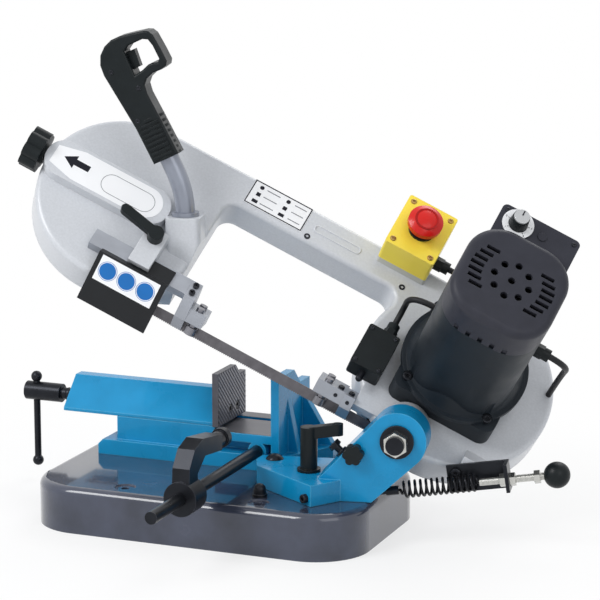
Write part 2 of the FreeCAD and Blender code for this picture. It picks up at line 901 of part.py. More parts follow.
def bed_bolts():
    floor_z = s.base_height - s.base_wall
    bolts = []
    for spot in bed_bolt_spots():
        bolts.append(fuse(hexagon(s.bed_bolt_head_width, s.bed_bolt_head_height,
                                  (*spot, floor_z - s.bed_bolt_head_height)),
                          cylinder(s.bed_bolt_radius, s.base_wall + s.bed_bolt_grip, (*spot, floor_z))))
    node("bed_bolts", group(*bolts))


def swivel_bolt():
    low = s.base_height - s.swivel_bolt_depth
    cap_z = s.arm_top_z + s.seat_gap
    shank = cylinder(s.swivel_bolt_radius, cap_z - low + s.overrun, (0, 0, low))
    dome_radius = cap_radius(s.swivel_cap_radius, s.swivel_cap_height)
    dome = common(cylinder(s.swivel_cap_radius, s.swivel_cap_height, (0, 0, cap_z)),
                  ball(dome_radius, (0, 0, cap_z + s.swivel_cap_height - dome_radius)))
    node("swivel_bolt", fuse(shank, dome),
         Placement(Vector(SIZES["swivel_x"], SIZES["swivel_y"], 0), Rotation()))


def mitre_stop():
    low = s.base_height
    shank = cylinder(s.bed_bolt_radius, s.base_wall + s.overrun, (0, 0, low - s.base_wall))
    foot = cylinder(s.mitre_stop_foot_radius, s.mitre_stop_foot_height, (0, 0, low))
    post = cylinder(s.mitre_stop_radius, s.mitre_stop_height - s.mitre_stop_radius, (0, 0, low))
    dome = ball(s.mitre_stop_radius, (0, 0, low + s.mitre_stop_height - s.mitre_stop_radius))
    node("mitre_stop", fuse(shank, foot, post, dome),
         Placement(Vector(SIZES["mitre_stop_x"], SIZES["mitre_stop_y"], 0), Rotation()))


def fixed_jaw():
    """The upright jaw wall with its two ribs and their pad."""
    foot_z = s.base_height + s.bed_foot_height
    back_x = s.jaw_face_x + s.fixed_jaw_thickness
    wall = prism([(s.bed_front_y, foot_z), (s.bed_back_y, foot_z), (s.bed_back_y, s.fixed_jaw_low_z),
                  (s.fixed_jaw_step_y, s.fixed_jaw_low_z),
                  (s.fixed_jaw_step_y - (s.fixed_jaw_top_z - s.fixed_jaw_low_z), s.fixed_jaw_top_z),
                  (s.bed_front_y, s.fixed_jaw_top_z)], s.fixed_jaw_thickness, s.jaw_face_x, "YZ_Plane")
    rib_x = back_x + s.rear_rib_reach
    pad = prism([(back_x, s.bed_front_y), (rib_x, s.rear_rib_y), (rib_x, s.bed_back_y),
                 (back_x, s.bed_back_y)],
                s.bed_foot_height, s.base_height)
    ribs = []
    for rib_y, reach in ((s.rear_rib_y, s.rear_rib_reach), (s.front_rib_y, s.front_rib_reach)):
        ribs.append(prism([(back_x, foot_z), (back_x + reach, foot_z),
                           (back_x, s.fixed_jaw_low_z - s.rib_drop)],
                          s.rib_thickness, -rib_y - s.rib_thickness, "XZ_Plane"))
    return [wall, pad, *ribs]


def vise_bed():
    low, foot_z = s.base_height, s.base_height + s.bed_foot_height
    slab_z = s.table_top_z - s.table_thickness
    foot = prism([(s.bed_foot_left_x, low), (s.jaw_face_x + s.fixed_jaw_thickness, low),
                  (s.jaw_face_x + s.fixed_jaw_thickness, foot_z),
                  (s.bed_foot_left_x + s.bed_foot_bevel, foot_z),
                  (s.bed_foot_left_x, foot_z - s.bed_foot_bevel)],
                 s.bed_back_y - s.bed_front_y, -s.bed_back_y, "XZ_Plane")
    guide = block((s.guide_left_x, s.bed_front_y + s.guide_inset, foot_z),
                  (s.table_left_x, s.bed_back_y - s.guide_inset, s.guide_top_z))
    web = block((s.table_left_x, s.bed_front_y + s.table_web_inset, foot_z),
                (s.jaw_face_x, s.bed_back_y - s.guide_inset, slab_z))
    slab = block((s.table_left_x, s.bed_front_y, slab_z), (s.jaw_face_x, s.bed_back_y, s.table_top_z))
    nut = block((s.nut_left_x, s.screw_y - s.nut_width / 2, s.guide_top_z),
                (s.nut_left_x + s.nut_length, s.screw_y + s.nut_width / 2, s.nut_top_z))
    boss = cylinder(s.stop_boss_radius, s.table_web_inset, (s.stop_rod_x, s.bed_front_y, s.stop_rod_z),
                    TO_Y)
    slot = block((s.guide_left_x - s.overrun, s.tongue_slot_y - s.tongue_slot_width / 2,
                  s.guide_top_z - s.tongue_slot_depth),
                 (s.jaw_face_x - s.overrun, s.tongue_slot_y + s.tongue_slot_width / 2,
                  s.guide_top_z + s.overrun))
    nut_bore = cylinder(s.screw_radius + s.running_gap, s.nut_length + s.overrun * 2,
                        (s.nut_left_x - s.overrun, s.screw_y, s.screw_z), TO_X)
    rod_bore = cylinder(s.stop_rod_radius + s.running_gap, s.stop_rod_seat + s.overrun,
                        (s.stop_rod_x, s.bed_front_y - s.overrun, s.stop_rod_z), TO_Y)
    bolt_holes = [cylinder(s.bed_bolt_radius + s.running_gap, s.bed_bolt_grip + s.overrun,
                           (*spot, low - s.overrun))
                  for spot in bed_bolt_spots()]
    node("vise_bed", cut(fuse(foot, guide, web, slab, nut, boss, *fixed_jaw()), slot, nut_bore, rod_bore,
                         *bolt_holes))


def movable_jaw():
    low = s.guide_top_z + s.seat_gap
    lip_z = low + s.jaw_lip_height
    run = s.jaw_top_z - lip_z
    length = s.jaw_right_x - s.jaw_left_x
    body = prism([(s.jaw_front_y, low), (s.jaw_back_y, low), (s.jaw_back_y, lip_z),
                  (s.jaw_back_y - run, s.jaw_top_z), (s.jaw_front_y + run, s.jaw_top_z),
                  (s.jaw_front_y, lip_z)],
                 length, s.jaw_left_x, "YZ_Plane")
    half = s.jaw_cavity_width / 2
    cavity = block((s.jaw_left_x + s.jaw_wall, s.screw_y - half, low - s.overrun),
                   (s.jaw_right_x - s.jaw_wall, s.screw_y + half, s.jaw_cavity_top_z))
    bore = cylinder(s.screw_radius + s.running_gap, s.jaw_wall + s.overrun * 2,
                    (s.jaw_left_x - s.overrun, s.screw_y, s.screw_z), TO_X)
    holes = [cylinder(s.jaw_screw_radius + s.running_gap, s.jaw_screw_depth + s.overrun,
                      (s.jaw_right_x - s.jaw_screw_depth, s.screw_y + side * s.jaw_screw_spacing / 2,
                       s.jaw_screw_z),
                      TO_X) for side in (-1, 1)]
    tongue_right = s.jaw_right_x - s.tongue_end_gap
    tongue_half = s.tongue_slot_width / 2 - s.seat_gap
    tongue = block((tongue_right - s.tongue_length, s.tongue_slot_y - tongue_half,
                    s.guide_top_z - s.tongue_slot_depth + s.seat_gap),
                   (tongue_right, s.tongue_slot_y + tongue_half, low + s.jaw_lip_height))
    node("movable_jaw", fuse(cut(body, cavity, bore, *holes), tongue))


def jaw_plate():
    right_x = s.jaw_right_x + s.jaw_plate_thickness
    plate = prism([(s.jaw_plate_front_y, s.jaw_plate_bottom_z), (s.jaw_plate_back_y, s.jaw_plate_bottom_z),
                   (s.jaw_plate_back_y, s.jaw_plate_low_z), (s.jaw_plate_step_y, s.jaw_plate_low_z),
                   (s.jaw_plate_step_y - (s.jaw_plate_top_z - s.jaw_plate_low_z), s.jaw_plate_top_z),
                   (s.jaw_plate_front_y, s.jaw_plate_top_z)], s.jaw_plate_thickness, s.jaw_right_x,
                   "YZ_Plane")
    tools = []
    for side in (-1, 1):
        spot = (s.screw_y + side * s.jaw_screw_spacing / 2, s.jaw_screw_z)
        tools.append(cylinder(s.jaw_screw_radius + s.running_gap, s.jaw_plate_thickness + s.overrun * 2,
                              (s.jaw_right_x - s.overrun, *spot), TO_X))
        tools.append(cylinder(s.jaw_screw_head_radius + s.running_gap, s.jaw_screw_head_height + s.overrun,
                              (right_x - s.jaw_screw_head_height, *spot), TO_X))
    node("jaw_plate", cut(plate, *tools))


def vise_screw():
    head_length = s.screw_head_right_x - s.screw_head_left_x
    collar_low = s.jaw_left_x + s.jaw_wall + s.seat_gap - s.screw_head_left_x
    shaft = turned([(0, 0), (s.screw_head_radius, 0), (s.screw_head_radius, head_length),
                    (s.screw_radius, head_length), (s.screw_radius, collar_low),
                    (s.screw_collar_radius, collar_low),
                    (s.screw_collar_radius, collar_low + s.screw_collar_length),
                    (s.screw_radius, collar_low + s.screw_collar_length),
                    (s.screw_radius, s.screw_tip_x - s.screw_head_left_x),
                    (0, s.screw_tip_x - s.screw_head_left_x)])
    put(shaft, (s.screw_head_left_x, s.screw_y, s.screw_z), TO_X)
    hole = cylinder(s.bar_radius + s.running_gap, s.screw_head_radius * 3,
                    (s.bar_x, s.screw_y, s.screw_z - s.screw_head_radius * 3 / 2))
    node("vise_screw", cut(shaft, hole))


def tommy_bar():
    top_z = s.screw_z + s.screw_head_radius + s.bar_ball_radius
    low_z = s.screw_z - s.bar_reach
    node("tommy_bar", fuse(cylinder(s.bar_radius, top_z - low_z, (s.bar_x, s.screw_y, low_z)),
                           ball(s.bar_ball_radius, (s.bar_x, s.screw_y, top_z)),
                           ball(s.bar_ball_radius, (s.bar_x, s.screw_y, low_z))))


def stop_rod():
    length = s.bed_front_y + s.stop_rod_seat - s.overrun - s.stop_rod_front_y
    node("stop_rod", cylinder(s.stop_rod_radius, length, (s.stop_rod_x, s.stop_rod_front_y, s.stop_rod_z),
                              TO_Y))


def stop_arm():
    left_x = s.stop_rod_x - s.stop_arm_width / 2
    arch_points = [(y, s.base_height + height) for y, height in outline("stop_arch")]
    arch = prism(arch_points, s.stop_arm_width, left_x, "YZ_Plane")
    length = s.stop_ring_back_y - s.stop_ring_front_y
    hub = cylinder(s.stop_ring_radius, length, (s.stop_rod_x, s.stop_ring_front_y, s.stop_rod_z), TO_Y)
    bore = cylinder(s.stop_rod_radius + s.running_gap, length + s.overrun * 2,
                    (s.stop_rod_x, s.stop_ring_front_y - s.overrun, s.stop_rod_z), TO_Y)
    stud = cylinder(s.stop_tip_stud_radius + s.running_gap, s.stop_tip_stud_depth + s.overrun,
                    (s.stop_rod_x, s.stop_tip_front_y - s.stop_tip_stud_depth, s.stop_tip_z), TO_Y)
    node("stop_arm", cut(fuse(arch, hub), bore, stud))


def stop_tip():
    at = (s.stop_rod_x, s.stop_tip_front_y, s.stop_tip_z)
    stud = cylinder(s.stop_tip_stud_radius, s.stop_tip_stud_depth,
                    (s.stop_rod_x, s.stop_tip_front_y - s.stop_tip_stud_depth + s.overrun, s.stop_tip_z),
                    TO_Y)
    stem = cylinder(s.stop_tip_radius, s.stop_tip_length, at, TO_Y)
    head = cylinder(s.stop_tip_head_radius, s.stop_tip_head_height,
                    (s.stop_rod_x, s.stop_tip_front_y + s.stop_tip_length, s.stop_tip_z), TO_Y)
    node("stop_tip", fuse(stud, stem, head))


# Swivel arm in its own frame: x along the arm, front is -y


def ear_outline(low):
    """The ear's side view round the pivot, from the plate up its slope and back down."""
    centre, radius = (SIZES["pivot_u"], SIZES["pivot_z"]), SIZES["ear_radius"]
    rise = tangent_point((SIZES["ear_slope_u"], SIZES["arm_top_z"]), centre, radius, 1)
    fall = tangent_point((SIZES["arm_heel_u"], low), centre, radius, -1)
    return rise, fall, (s.pivot_u + s.ear_radius, s.pivot_z)


def swivel_arm():
    low = s.base_height + s.arm_bottom_gap
    plate = prism(outline("arm_plate", -1)[::-1], s.arm_top_z - low, low)
    rise, fall, side = ear_outline(number(low))
    ear_depth = s.ear_front - s.ear_back
    ear = prism([(s.arm_heel_u, low), (*fall,), (*side, s.ear_radius, ANTICLOCKWISE),
                 (*rise, s.ear_radius, ANTICLOCKWISE), (s.ear_slope_u, s.arm_top_z), (s.ear_slope_u, low)],
                ear_depth, s.ear_back, "XZ_Plane")
    swivel_bore = cylinder(s.swivel_bolt_radius + s.running_gap, s.arm_top_z, (0, 0, s.overrun))
    pivot_bore = cylinder(s.bush_radius + s.running_gap, ear_depth + s.overrun * 2,
                          (s.pivot_u, -s.ear_back + s.overrun, s.pivot_z), TO_FRONT)
    lever_bore = cylinder(s.lever_stud_radius + s.running_gap, s.arm_top_z,
                          (s.lever_u, -s.lever_front, s.overrun))
    star_bore = cylinder(s.star_stud_radius + s.running_gap, s.star_stud_depth + s.overrun,
                         (s.star_u, -s.ear_front + s.star_stud_depth, s.star_z), TO_FRONT)
    stop_bore = cylinder(s.down_stop_radius + s.running_gap, s.down_stop_depth * 2,
                         (0, 0, -s.down_stop_depth))
    moved(stop_bore, down_stop_place())
    anchor_bore = cylinder(s.anchor_stud_radius + s.running_gap, s.anchor_depth + s.overrun,
                           (-s.anchor_reach, 0, 0), TO_X)
    moved(anchor_bore, SPRING_LINE)
    node("swivel_arm", cut(fuse(plate, ear), swivel_bore, pivot_bore, lever_bore, star_bore, stop_bore,
                           anchor_bore), ARM)


def down_stop_place():
    """The spot on the ear's slope where the lowered head comes to rest, z square to the slope."""
    rise, fall, side = ear_outline(SIZES["base_height"] + SIZES["arm_bottom_gap"])
    foot = (SIZES["ear_slope_u"], SIZES["arm_top_z"])
    share = SIZES["down_stop_share"]
    spot = Vector(foot[0] + (rise[0] - foot[0]) * share, -(SIZES["ear_front"] + SIZES["ear_back"]) / 2,
                  foot[1] + (rise[1] - foot[1]) * share)
    slope = math.degrees(math.atan2(rise[1] - foot[1], rise[0] - foot[0]))
    return Placement(spot, Rotation(Y_AXIS, -slope))


def down_stop_bolt():
    shank = cylinder(s.down_stop_radius, s.down_stop_depth + s.down_stop_stand - s.overrun,
                     (0, 0, s.overrun - s.down_stop_depth))
    head = hexagon(s.down_stop_head_width, s.down_stop_head_height, (0, 0, s.down_stop_stand))
    lock = hexagon(s.down_stop_head_width, s.down_stop_head_height / 2)
    node("down_stop_bolt", fuse(shank, head, lock), ARM * down_stop_place())


def pivot_bush():
    node("pivot_bush", ring(s.bush_radius, s.pivot_radius + s.running_gap, s.ear_front - s.ear_back,
                            (s.pivot_u, -s.ear_back, s.pivot_z), TO_FRONT), ARM)


def mitre_lever():
    low = s.arm_top_z + s.seat_gap
    stud = cylinder(s.lever_stud_radius, low - s.base_height - s.overrun, (0, 0, s.base_height + s.overrun))
    foot = cylinder(s.lever_foot_radius, s.lever_foot_height, (0, 0, low))
    hub = cylinder(s.lever_hub_radius, s.lever_top_z - low, (0, 0, low))
    half = s.lever_arm_width / 2
    arm_low = s.lever_top_z - s.lever_arm_height
    grip = prism([(0, arm_low), (s.lever_arm_length, arm_low + s.lever_arm_rise / 2),
                  (s.lever_arm_length, s.lever_top_z + s.lever_arm_rise / 2), (0, s.lever_top_z)],
                 s.lever_arm_width, -half, "XZ_Plane")
    knob = cylinder(half, s.lever_arm_height,
                    (s.lever_arm_length, 0, arm_low + s.lever_arm_rise / 2))
    node("mitre_lever", fuse(stud, foot, hub, grip, knob),
         ARM * Placement(Vector(SIZES["lever_u"], -SIZES["lever_front"], 0), Rotation()))


def star_knob():
    lobes = 6
    low = s.seat_gap
    pieces = [cylinder(s.star_stud_radius, s.star_stud_depth, (0, 0, low - s.star_stud_depth + s.overrun)),
              cylinder(s.star_radius - s.star_lobe_radius / 2, s.star_thickness, (0, 0, low))]
    for i in range(lobes):
        turn = 360 * i / lobes
        reach = s.star_radius - s.star_lobe_radius
        pieces.append(cylinder(s.star_lobe_radius, s.star_thickness,
                               (reach * cosine(turn), reach * sine(turn), low)))
    node("star_knob", fuse(*pieces),
         ARM * Placement(Vector(SIZES["star_u"], -SIZES["ear_front"], SIZES["star_z"]), TO_FRONT))


def spring_anchor():
    """A post screwed into the ear's edge; the spring's end sits in its bore."""
    stud = cylinder(s.anchor_stud_radius, s.anchor_depth, (-s.anchor_reach + s.overrun / 2, 0, 0), TO_X)
    post = cylinder(s.anchor_radius, s.anchor_reach - s.anchor_depth,
                    (s.anchor_depth - s.anchor_reach, 0, 0), TO_X)
    bore = cylinder(s.spring_wire_radius + s.running_gap, s.spring_seat + s.overrun,
                    (-s.spring_seat, 0, 0), TO_X)
    node("spring_anchor", cut(fuse(stud, post), bore), ARM * SPRING_LINE)


# Saw head: the bow frame leans back over the stock; x along the blade, y up the bow, z out to the front

BAND_RADIUS = s.wheel_radius + s.seat_gap + s.blade_thickness / 2
WHEEL_W = BAND_RADIUS
IDLER_X = s.drive_wheel_x - (s.blade_length - BAND_RADIUS * 2 * math.pi) / 2
FROM_HEAD = Placement(Vector(0, 0, 0), UPRIGHT) * Placement(Vector(0, 0, SIZES["blade_drop"]), Rotation())
MOTOR_AXIS = (s.drive_wheel_x, WHEEL_W)
GEAR_CENTRES = s.gear_module * (s.gear_pinion_teeth + s.gear_wheel_teeth) / 2
COUNTER_AXIS = (s.drive_wheel_x + GEAR_CENTRES * cosine(SIZES["gear_angle"]),
                WHEEL_W + GEAR_CENTRES * sine(SIZES["gear_angle"]))


def across(w, n):
    """A point across the bow as head coordinates (back, up)."""
    lean = math.radians(SIZES["bow_angle"])
    w, n = number(w), number(n)
    return (w * math.cos(lean) - n * math.sin(lean),
            w * math.sin(lean) + n * math.cos(lean) - SIZES["blade_drop"])


def from_head(item):
    """Moves an item drawn in head coordinates into the bow's."""
    return moved(item, FROM_HEAD)


def bow_outline(inset):
    """The bow's outline, drawn in by the inset."""
    wheel_w, idler_x, drive_x = SIZES["house_w"], SIZES["left_house_x"], SIZES["drive_wheel_x"]
    left, right = SIZES["left_house_radius"] - inset, SIZES["right_house_radius"] - inset
    inner_round = SIZES["throat_round"] + inset
    top_w = wheel_w + left
    under_w = wheel_w + SIZES["left_house_radius"] - SIZES["beam_height"] + inset
    throat_x = SIZES["throat_left_x"] - inset
    low_w = SIZES["house_low_w"] + inset
    foot_w = SIZES["throat_foot_w"] + inset
    foot_x = throat_x - SIZES["throat_foot_run"]
    low_x = idler_x + math.sqrt(left ** 2 - (low_w - wheel_w) ** 2)
    top_x = drive_x - math.sqrt(right ** 2 - (top_w - wheel_w) ** 2)
    round_w = under_w - inner_round
    round_x = drive_x - math.sqrt((right + inner_round) ** 2 - (round_w - wheel_w) ** 2)
    share = right / (right + inner_round)
    touch = (drive_x + (round_x - drive_x) * share, wheel_w + (round_w - wheel_w) * share)
    return [(top_x, top_w, right, ANTICLOCKWISE), (idler_x, top_w),
            (idler_x - left, wheel_w, left, ANTICLOCKWISE),
            (idler_x, wheel_w - left, left, ANTICLOCKWISE), (low_x, low_w, left, ANTICLOCKWISE),
            (foot_x, low_w), (throat_x, foot_w), (throat_x, round_w),
            (throat_x + inner_round, under_w, inner_round, CLOCKWISE), (round_x, under_w),
            (*touch, inner_round, CLOCKWISE), (drive_x, wheel_w - right, right, ANTICLOCKWISE),
            (drive_x + right, wheel_w, right, ANTICLOCKWISE),
            (drive_x, wheel_w + right, right, ANTICLOCKWISE)]


def bow_shell():
    outer = prism(bow_outline(0), s.bow_front + s.bow_rear, -s.bow_rear)
    front = SIZES["bow_front"] - SIZES["running_gap"]
    outer = rounded(outer, s.bow_edge_round, lambda edge: edge.BoundBox.ZMin > front)
    inner = prism(bow_outline(SIZES["bow_wall"]), s.bow_front + s.bow_rear - s.bow_wall + s.overrun,
                  -s.bow_rear - s.overrun)
    posts = [cylinder(s.cover_post_radius, s.bow_front + s.bow_rear - s.bow_wall, (*spot, -s.bow_rear))
             for spot in cover_screw_spots()]
    return cut(outer, cut(inner, *posts))


def cover_screw_spots():
    left_turns, right_turns = (75, 115, 150), (80, 30, -20, -70)
    spots = []
    for house_x, radius, turns in ((s.left_house_x, s.left_house_radius, left_turns),
                                   (s.drive_wheel_x, s.right_house_radius, right_turns)):
        reach = radius - s.cover_post_radius
        spots += [(house_x + reach * cosine(turn), s.house_w + reach * sine(turn)) for turn in turns]
    return spots


def in_front(item, depth):
    """Keeps what stands in front of a plane of the bow."""
    reach = s.base_length * 2
    return common(item, block((-reach, -reach, depth), (reach, reach, reach)))


def pivot_boss():
    gap = s.ear_back - s.pivot_boss_gap
    boss = from_head(cylinder(s.pivot_boss_radius, gap - s.pivot_boss_back, (0, -s.pivot_boss_back, 0),
                              TO_FRONT))
    bore = from_head(cylinder(s.pivot_radius + s.running_gap, gap - s.pivot_inner_front + s.overrun,
                              (0, -s.pivot_inner_front, 0), TO_FRONT))
    return in_front(boss, s.drive_bearing_low), bore


def spring_lug():
    lug = from_head(block((s.spring_lug_x, -s.spring_lug_front, s.spring_lug_low_z),
                          (s.spring_lug_x + s.spring_lug_length, -s.spring_lug_back, s.spring_lug_high_z)))
    return in_front(lug, s.bow_front - s.bow_wall)


def handle_place():
    """The tube's foot on the bow's face, z along the tube."""
    return Placement(Vector(SIZES["handle_foot_x"], SIZES["handle_y"], SIZES["handle_foot_z"]),
                     Rotation(Y_AXIS, -SIZES["handle_foot_angle"]))


def handle_collar():
    half = s.collar_half_width
    collar = prism(soft_rectangle((-half, -half), (half, half), s.collar_corner_radius), s.collar_reach * 3,
                   -s.collar_reach * 2)
    bore = cylinder(s.tube_radius + s.running_gap, s.collar_reach, (0, 0, s.tube_start))
    for item in (collar, bore):
        moved(item, FROM_HEAD * handle_place())
    reach = s.base_length * 2
    beside_throat = block((-reach, -reach, s.bow_front - s.bow_wall), (s.throat_left_x, reach, reach))
    return common(collar, beside_throat), bore


def tension_house():
    low_w, high_w = WHEEL_W - s.tension_house_half_width, WHEEL_W + s.tension_house_half_width
    loop = soft_rectangle((s.tension_house_left_x, low_w), (s.tension_house_right_x, high_w),
                          s.tension_house_half_width - s.overrun)
    house = prism(loop, s.tension_house_height + s.overrun, s.bow_front - s.overrun)
    channel = block((s.tension_house_left_x + s.tension_house_wall, WHEEL_W - s.tension_channel_half_width,
                     s.bow_front - s.bow_wall - s.overrun),
                    (s.tension_channel_right_x, WHEEL_W + s.tension_channel_half_width,
                     s.bow_front + s.tension_channel_height))
    screw_hole = cylinder(s.tension_screw_radius + s.running_gap, s.tension_house_wall * 3,
                          (s.tension_house_left_x - s.tension_house_wall, WHEEL_W, s.tension_screw_n), TO_X)
    return house, [channel, screw_hole]


def guide_bridge_n():
    """How far in front of the blade's plane the bridge over the guide bar starts."""
    return s.bow_front + s.seat_gap * 3 + s.guide_bar_thickness + s.guard_thickness


def guide_clamp():
    """A post beside the guide bar with a bridge over it."""
    bar_top_w = s.guide_bar_low_w + s.guide_bar_width
    bridge_n = guide_bridge_n()
    right_x = s.guide_clamp_left_x + s.guide_clamp_length
    high_w = s.guide_bar_low_w + s.guide_clamp_width
    post = block((s.guide_clamp_left_x, bar_top_w + s.seat_gap, s.bow_front - s.overrun),
                 (right_x, high_w, bridge_n))
    bridge = block((s.guide_clamp_left_x, s.guide_bar_low_w, bridge_n),
                   (right_x, high_w, bridge_n + s.guide_clamp_height))
    return [post, bridge]


def guide_lever_spot():
    return (s.guide_clamp_left_x + s.guide_clamp_length / 2,
            s.guide_bar_low_w + s.guide_clamp_width - s.guide_lever_width)


def bow_frame():
    boss, boss_bore = pivot_boss()
    collar, collar_bore = handle_collar()
    house, house_cuts = tension_house()
    drive_boss = cylinder(s.drive_boss_radius, s.bow_front - s.drive_bearing_low,
                          (*MOTOR_AXIS, s.drive_bearing_low))
    guide_lug = block((s.guide_lug_left_x, s.guide_lug_low_w, s.drive_bearing_low),
                      (s.guide_lug_right_x, s.guide_lug_high_w, s.bow_front))
    half_slot = s.blade_slot_height / 2
    rear = s.bow_rear + s.overrun
    slots = [block((low_x, -half_slot, -rear), (high_x, half_slot, s.guide_slot_front))
             for low_x, high_x in ((IDLER_X + s.blade_slot_height, s.throat_left_x),
                                   (s.guide_lug_left_x, s.drive_wheel_x - s.blade_slot_height))]
    bearing_bore = cylinder(s.drive_bearing_radius + s.running_gap, s.bow_front,
                            (*MOTOR_AXIS, s.drive_bearing_low - s.overrun))
    counter_bore = cylinder(s.counter_shaft_radius + s.running_gap, s.bow_front,
                            (*COUNTER_AXIS, s.bow_front - s.bow_wall + s.overrun / 2))
    lever_bore = cylinder(s.guide_lever_stud_radius + s.running_gap, s.guide_clamp_height * 2,
                          (*guide_lever_spot(), guide_bridge_n()))
    relief = cylinder(s.wheel_radius + s.wheel_flange + s.wheel_relief_gap,
                      s.bow_front - s.bow_wall + rear, (IDLER_X + s.tension_travel, WHEEL_W, -rear))
    cover_bores = [cylinder(s.cover_screw_radius + s.running_gap, s.cover_screw_depth + s.overrun,
                            (*spot, -rear)) for spot in cover_screw_spots()]
    solid = fuse(cut(bow_shell(), relief), boss, collar, house, drive_boss, guide_lug, spring_lug(),
                 *guide_clamp())
    bores = [boss_bore, collar_bore, bearing_bore, counter_bore, lever_bore]
    node("bow_frame", cut(solid, *bores, *house_cuts, *slots, *cover_bores), BOW)


def rear_cover():
    plate = prism(bow_outline(0), s.cover_thickness, -s.bow_rear - s.cover_thickness)
    holes = [cylinder(s.cover_screw_radius + s.running_gap, s.cover_thickness * 3,
                      (*spot, -s.bow_rear - s.cover_thickness * 2)) for spot in cover_screw_spots()]
    node("rear_cover", cut(plate, *holes), BOW)


def blade_section(x, turn):
    """The band's cross-section at x, turned about the blade line."""
    half_width, half_thickness = SIZES["blade_width"] / 2, SIZES["blade_thickness"] / 2
    wide = Vector(0, sine(turn), cosine(turn))
    thick = Vector(0, cosine(turn), -sine(turn))
    middle = Vector(x, 0, 0)
    signs = ((1, 1), (-1, 1), (-1, -1), (1, -1))
    corners = [middle + wide * half_width * a + thick * half_thickness * b for a, b in signs]
    return Part.makePolygon(corners + corners[:1])


def blade_loop():
    """The flat part of the band: round both wheels and along the beam."""
    half = SIZES["blade_thickness"] / 2
    half_width = SIZES["blade_width"] / 2
    middle, idler_x, drive_x = number(BAND_RADIUS), number(IDLER_X), SIZES["drive_wheel_x"]
    edges = []
    for radius in (middle + half, middle - half):
        low, high = middle - radius, middle + radius
        edges.append(Part.Arc(Vector(drive_x, low, 0), Vector(drive_x + radius, middle, 0),
                              Vector(drive_x, high, 0)).toShape())
        edges.append(Part.LineSegment(Vector(drive_x, high, 0), Vector(idler_x, high, 0)).toShape())
        edges.append(Part.Arc(Vector(idler_x, high, 0), Vector(idler_x - radius, middle, 0),
                              Vector(idler_x, low, 0)).toShape())
    for x in (drive_x, idler_x):
        edges.append(Part.LineSegment(Vector(x, -half, 0), Vector(x, half, 0)).toShape())
    face = Part.Face(Part.Wire(Part.__sortEdges__(edges)))
    flat = face.extrude(Vector(0, 0, 2 * half_width))
    flat.translate(Vector(0, 0, -half_width))
    return flat


def blade_cutting_run(left_x, right_x):
    """The upright run between the guides with its teeth."""
    half_width, half = SIZES["blade_width"] / 2, SIZES["blade_thickness"] / 2
    teeth = int((right_x - left_x) / SIZES["tooth_pitch"])
    pitch = (right_x - left_x) / teeth
    points = [Vector(right_x, 0, half_width), Vector(left_x, 0, half_width)]
    for i in range(teeth):
        points.append(Vector(left_x + i * pitch, 0, SIZES["tooth_depth"] - half_width))
        points.append(Vector(left_x + (i + 1) * pitch, 0, -half_width))
    points.append(Vector(right_x, 0, SIZES["tooth_depth"] - half_width))
    run = Part.Face(Part.makePolygon(points + points[:1])).extrude(Vector(0, 2 * half, 0))
    run.translate(Vector(0, -half, 0))
    run.rotate(Vector(0, 0, 0), X_AXIS, -SIZES["bow_angle"])
    return run


def saw_blade():
    lean = SIZES["bow_angle"]
    idler_x, drive_x = number(IDLER_X), SIZES["drive_wheel_x"]
    left_x = SIZES["guide_bar_right_x"]
    right_x = SIZES["right_guide_face_x"]
    steps = 3
    twists = []
    for start, end in ((drive_x, right_x), (idler_x, left_x)):
        shares = [i / steps for i in range(steps + 1)]
        sections = [blade_section(start + (end - start) * share, lean * share) for share in shares]
        twists.append(Part.makeLoft(sections, True, True))
    band = blade_loop().fuse([blade_cutting_run(left_x, right_x), *twists])
    node("saw_blade", made(band), BOW)


def wheel(bore):
    """A cast wheel: rim with a rear-open flange, web with holes, hub."""
    low, high = -s.wheel_width / 2, s.wheel_width / 2 + s.wheel_flange_width / 4
    flange_low = s.blade_width / 2 + s.seat_gap
    inner = s.wheel_radius - s.wheel_rim
    web = s.wheel_web / 2
    body = turned([(bore, low), (s.wheel_hub_radius, low), (s.wheel_hub_radius, -web), (inner, -web),
                   (inner, low),
                   (s.wheel_radius, low), (s.wheel_radius, flange_low),
                   (s.wheel_radius + s.wheel_flange, flange_low),
                   (s.wheel_radius + s.wheel_flange, high), (inner, high), (inner, web),
                   (s.wheel_hub_radius, web),
                   (s.wheel_hub_radius, high), (bore, high)])
    hole_count = 5
    holes = []
    for i in range(hole_count):
        turn = 360 * i / hole_count
        holes.append(cylinder(s.wheel_hole_radius, s.wheel_web * 2,
                              (s.wheel_hole_circle_radius * cosine(turn),
                               s.wheel_hole_circle_radius * sine(turn),
                               -s.wheel_web)))
    return cut(body, *holes)


def at_axis(spot, n=0):
    return BOW * Placement(Vector(number(spot[0]), number(spot[1]), n), Rotation())


def idler_wheel():
    node("idler_wheel", wheel(s.idler_axle_radius + s.running_gap), at_axis((IDLER_X, WHEEL_W)))


def drive_wheel():
    node("drive_wheel", wheel(s.drive_shaft_radius + s.running_gap), at_axis(MOTOR_AXIS))


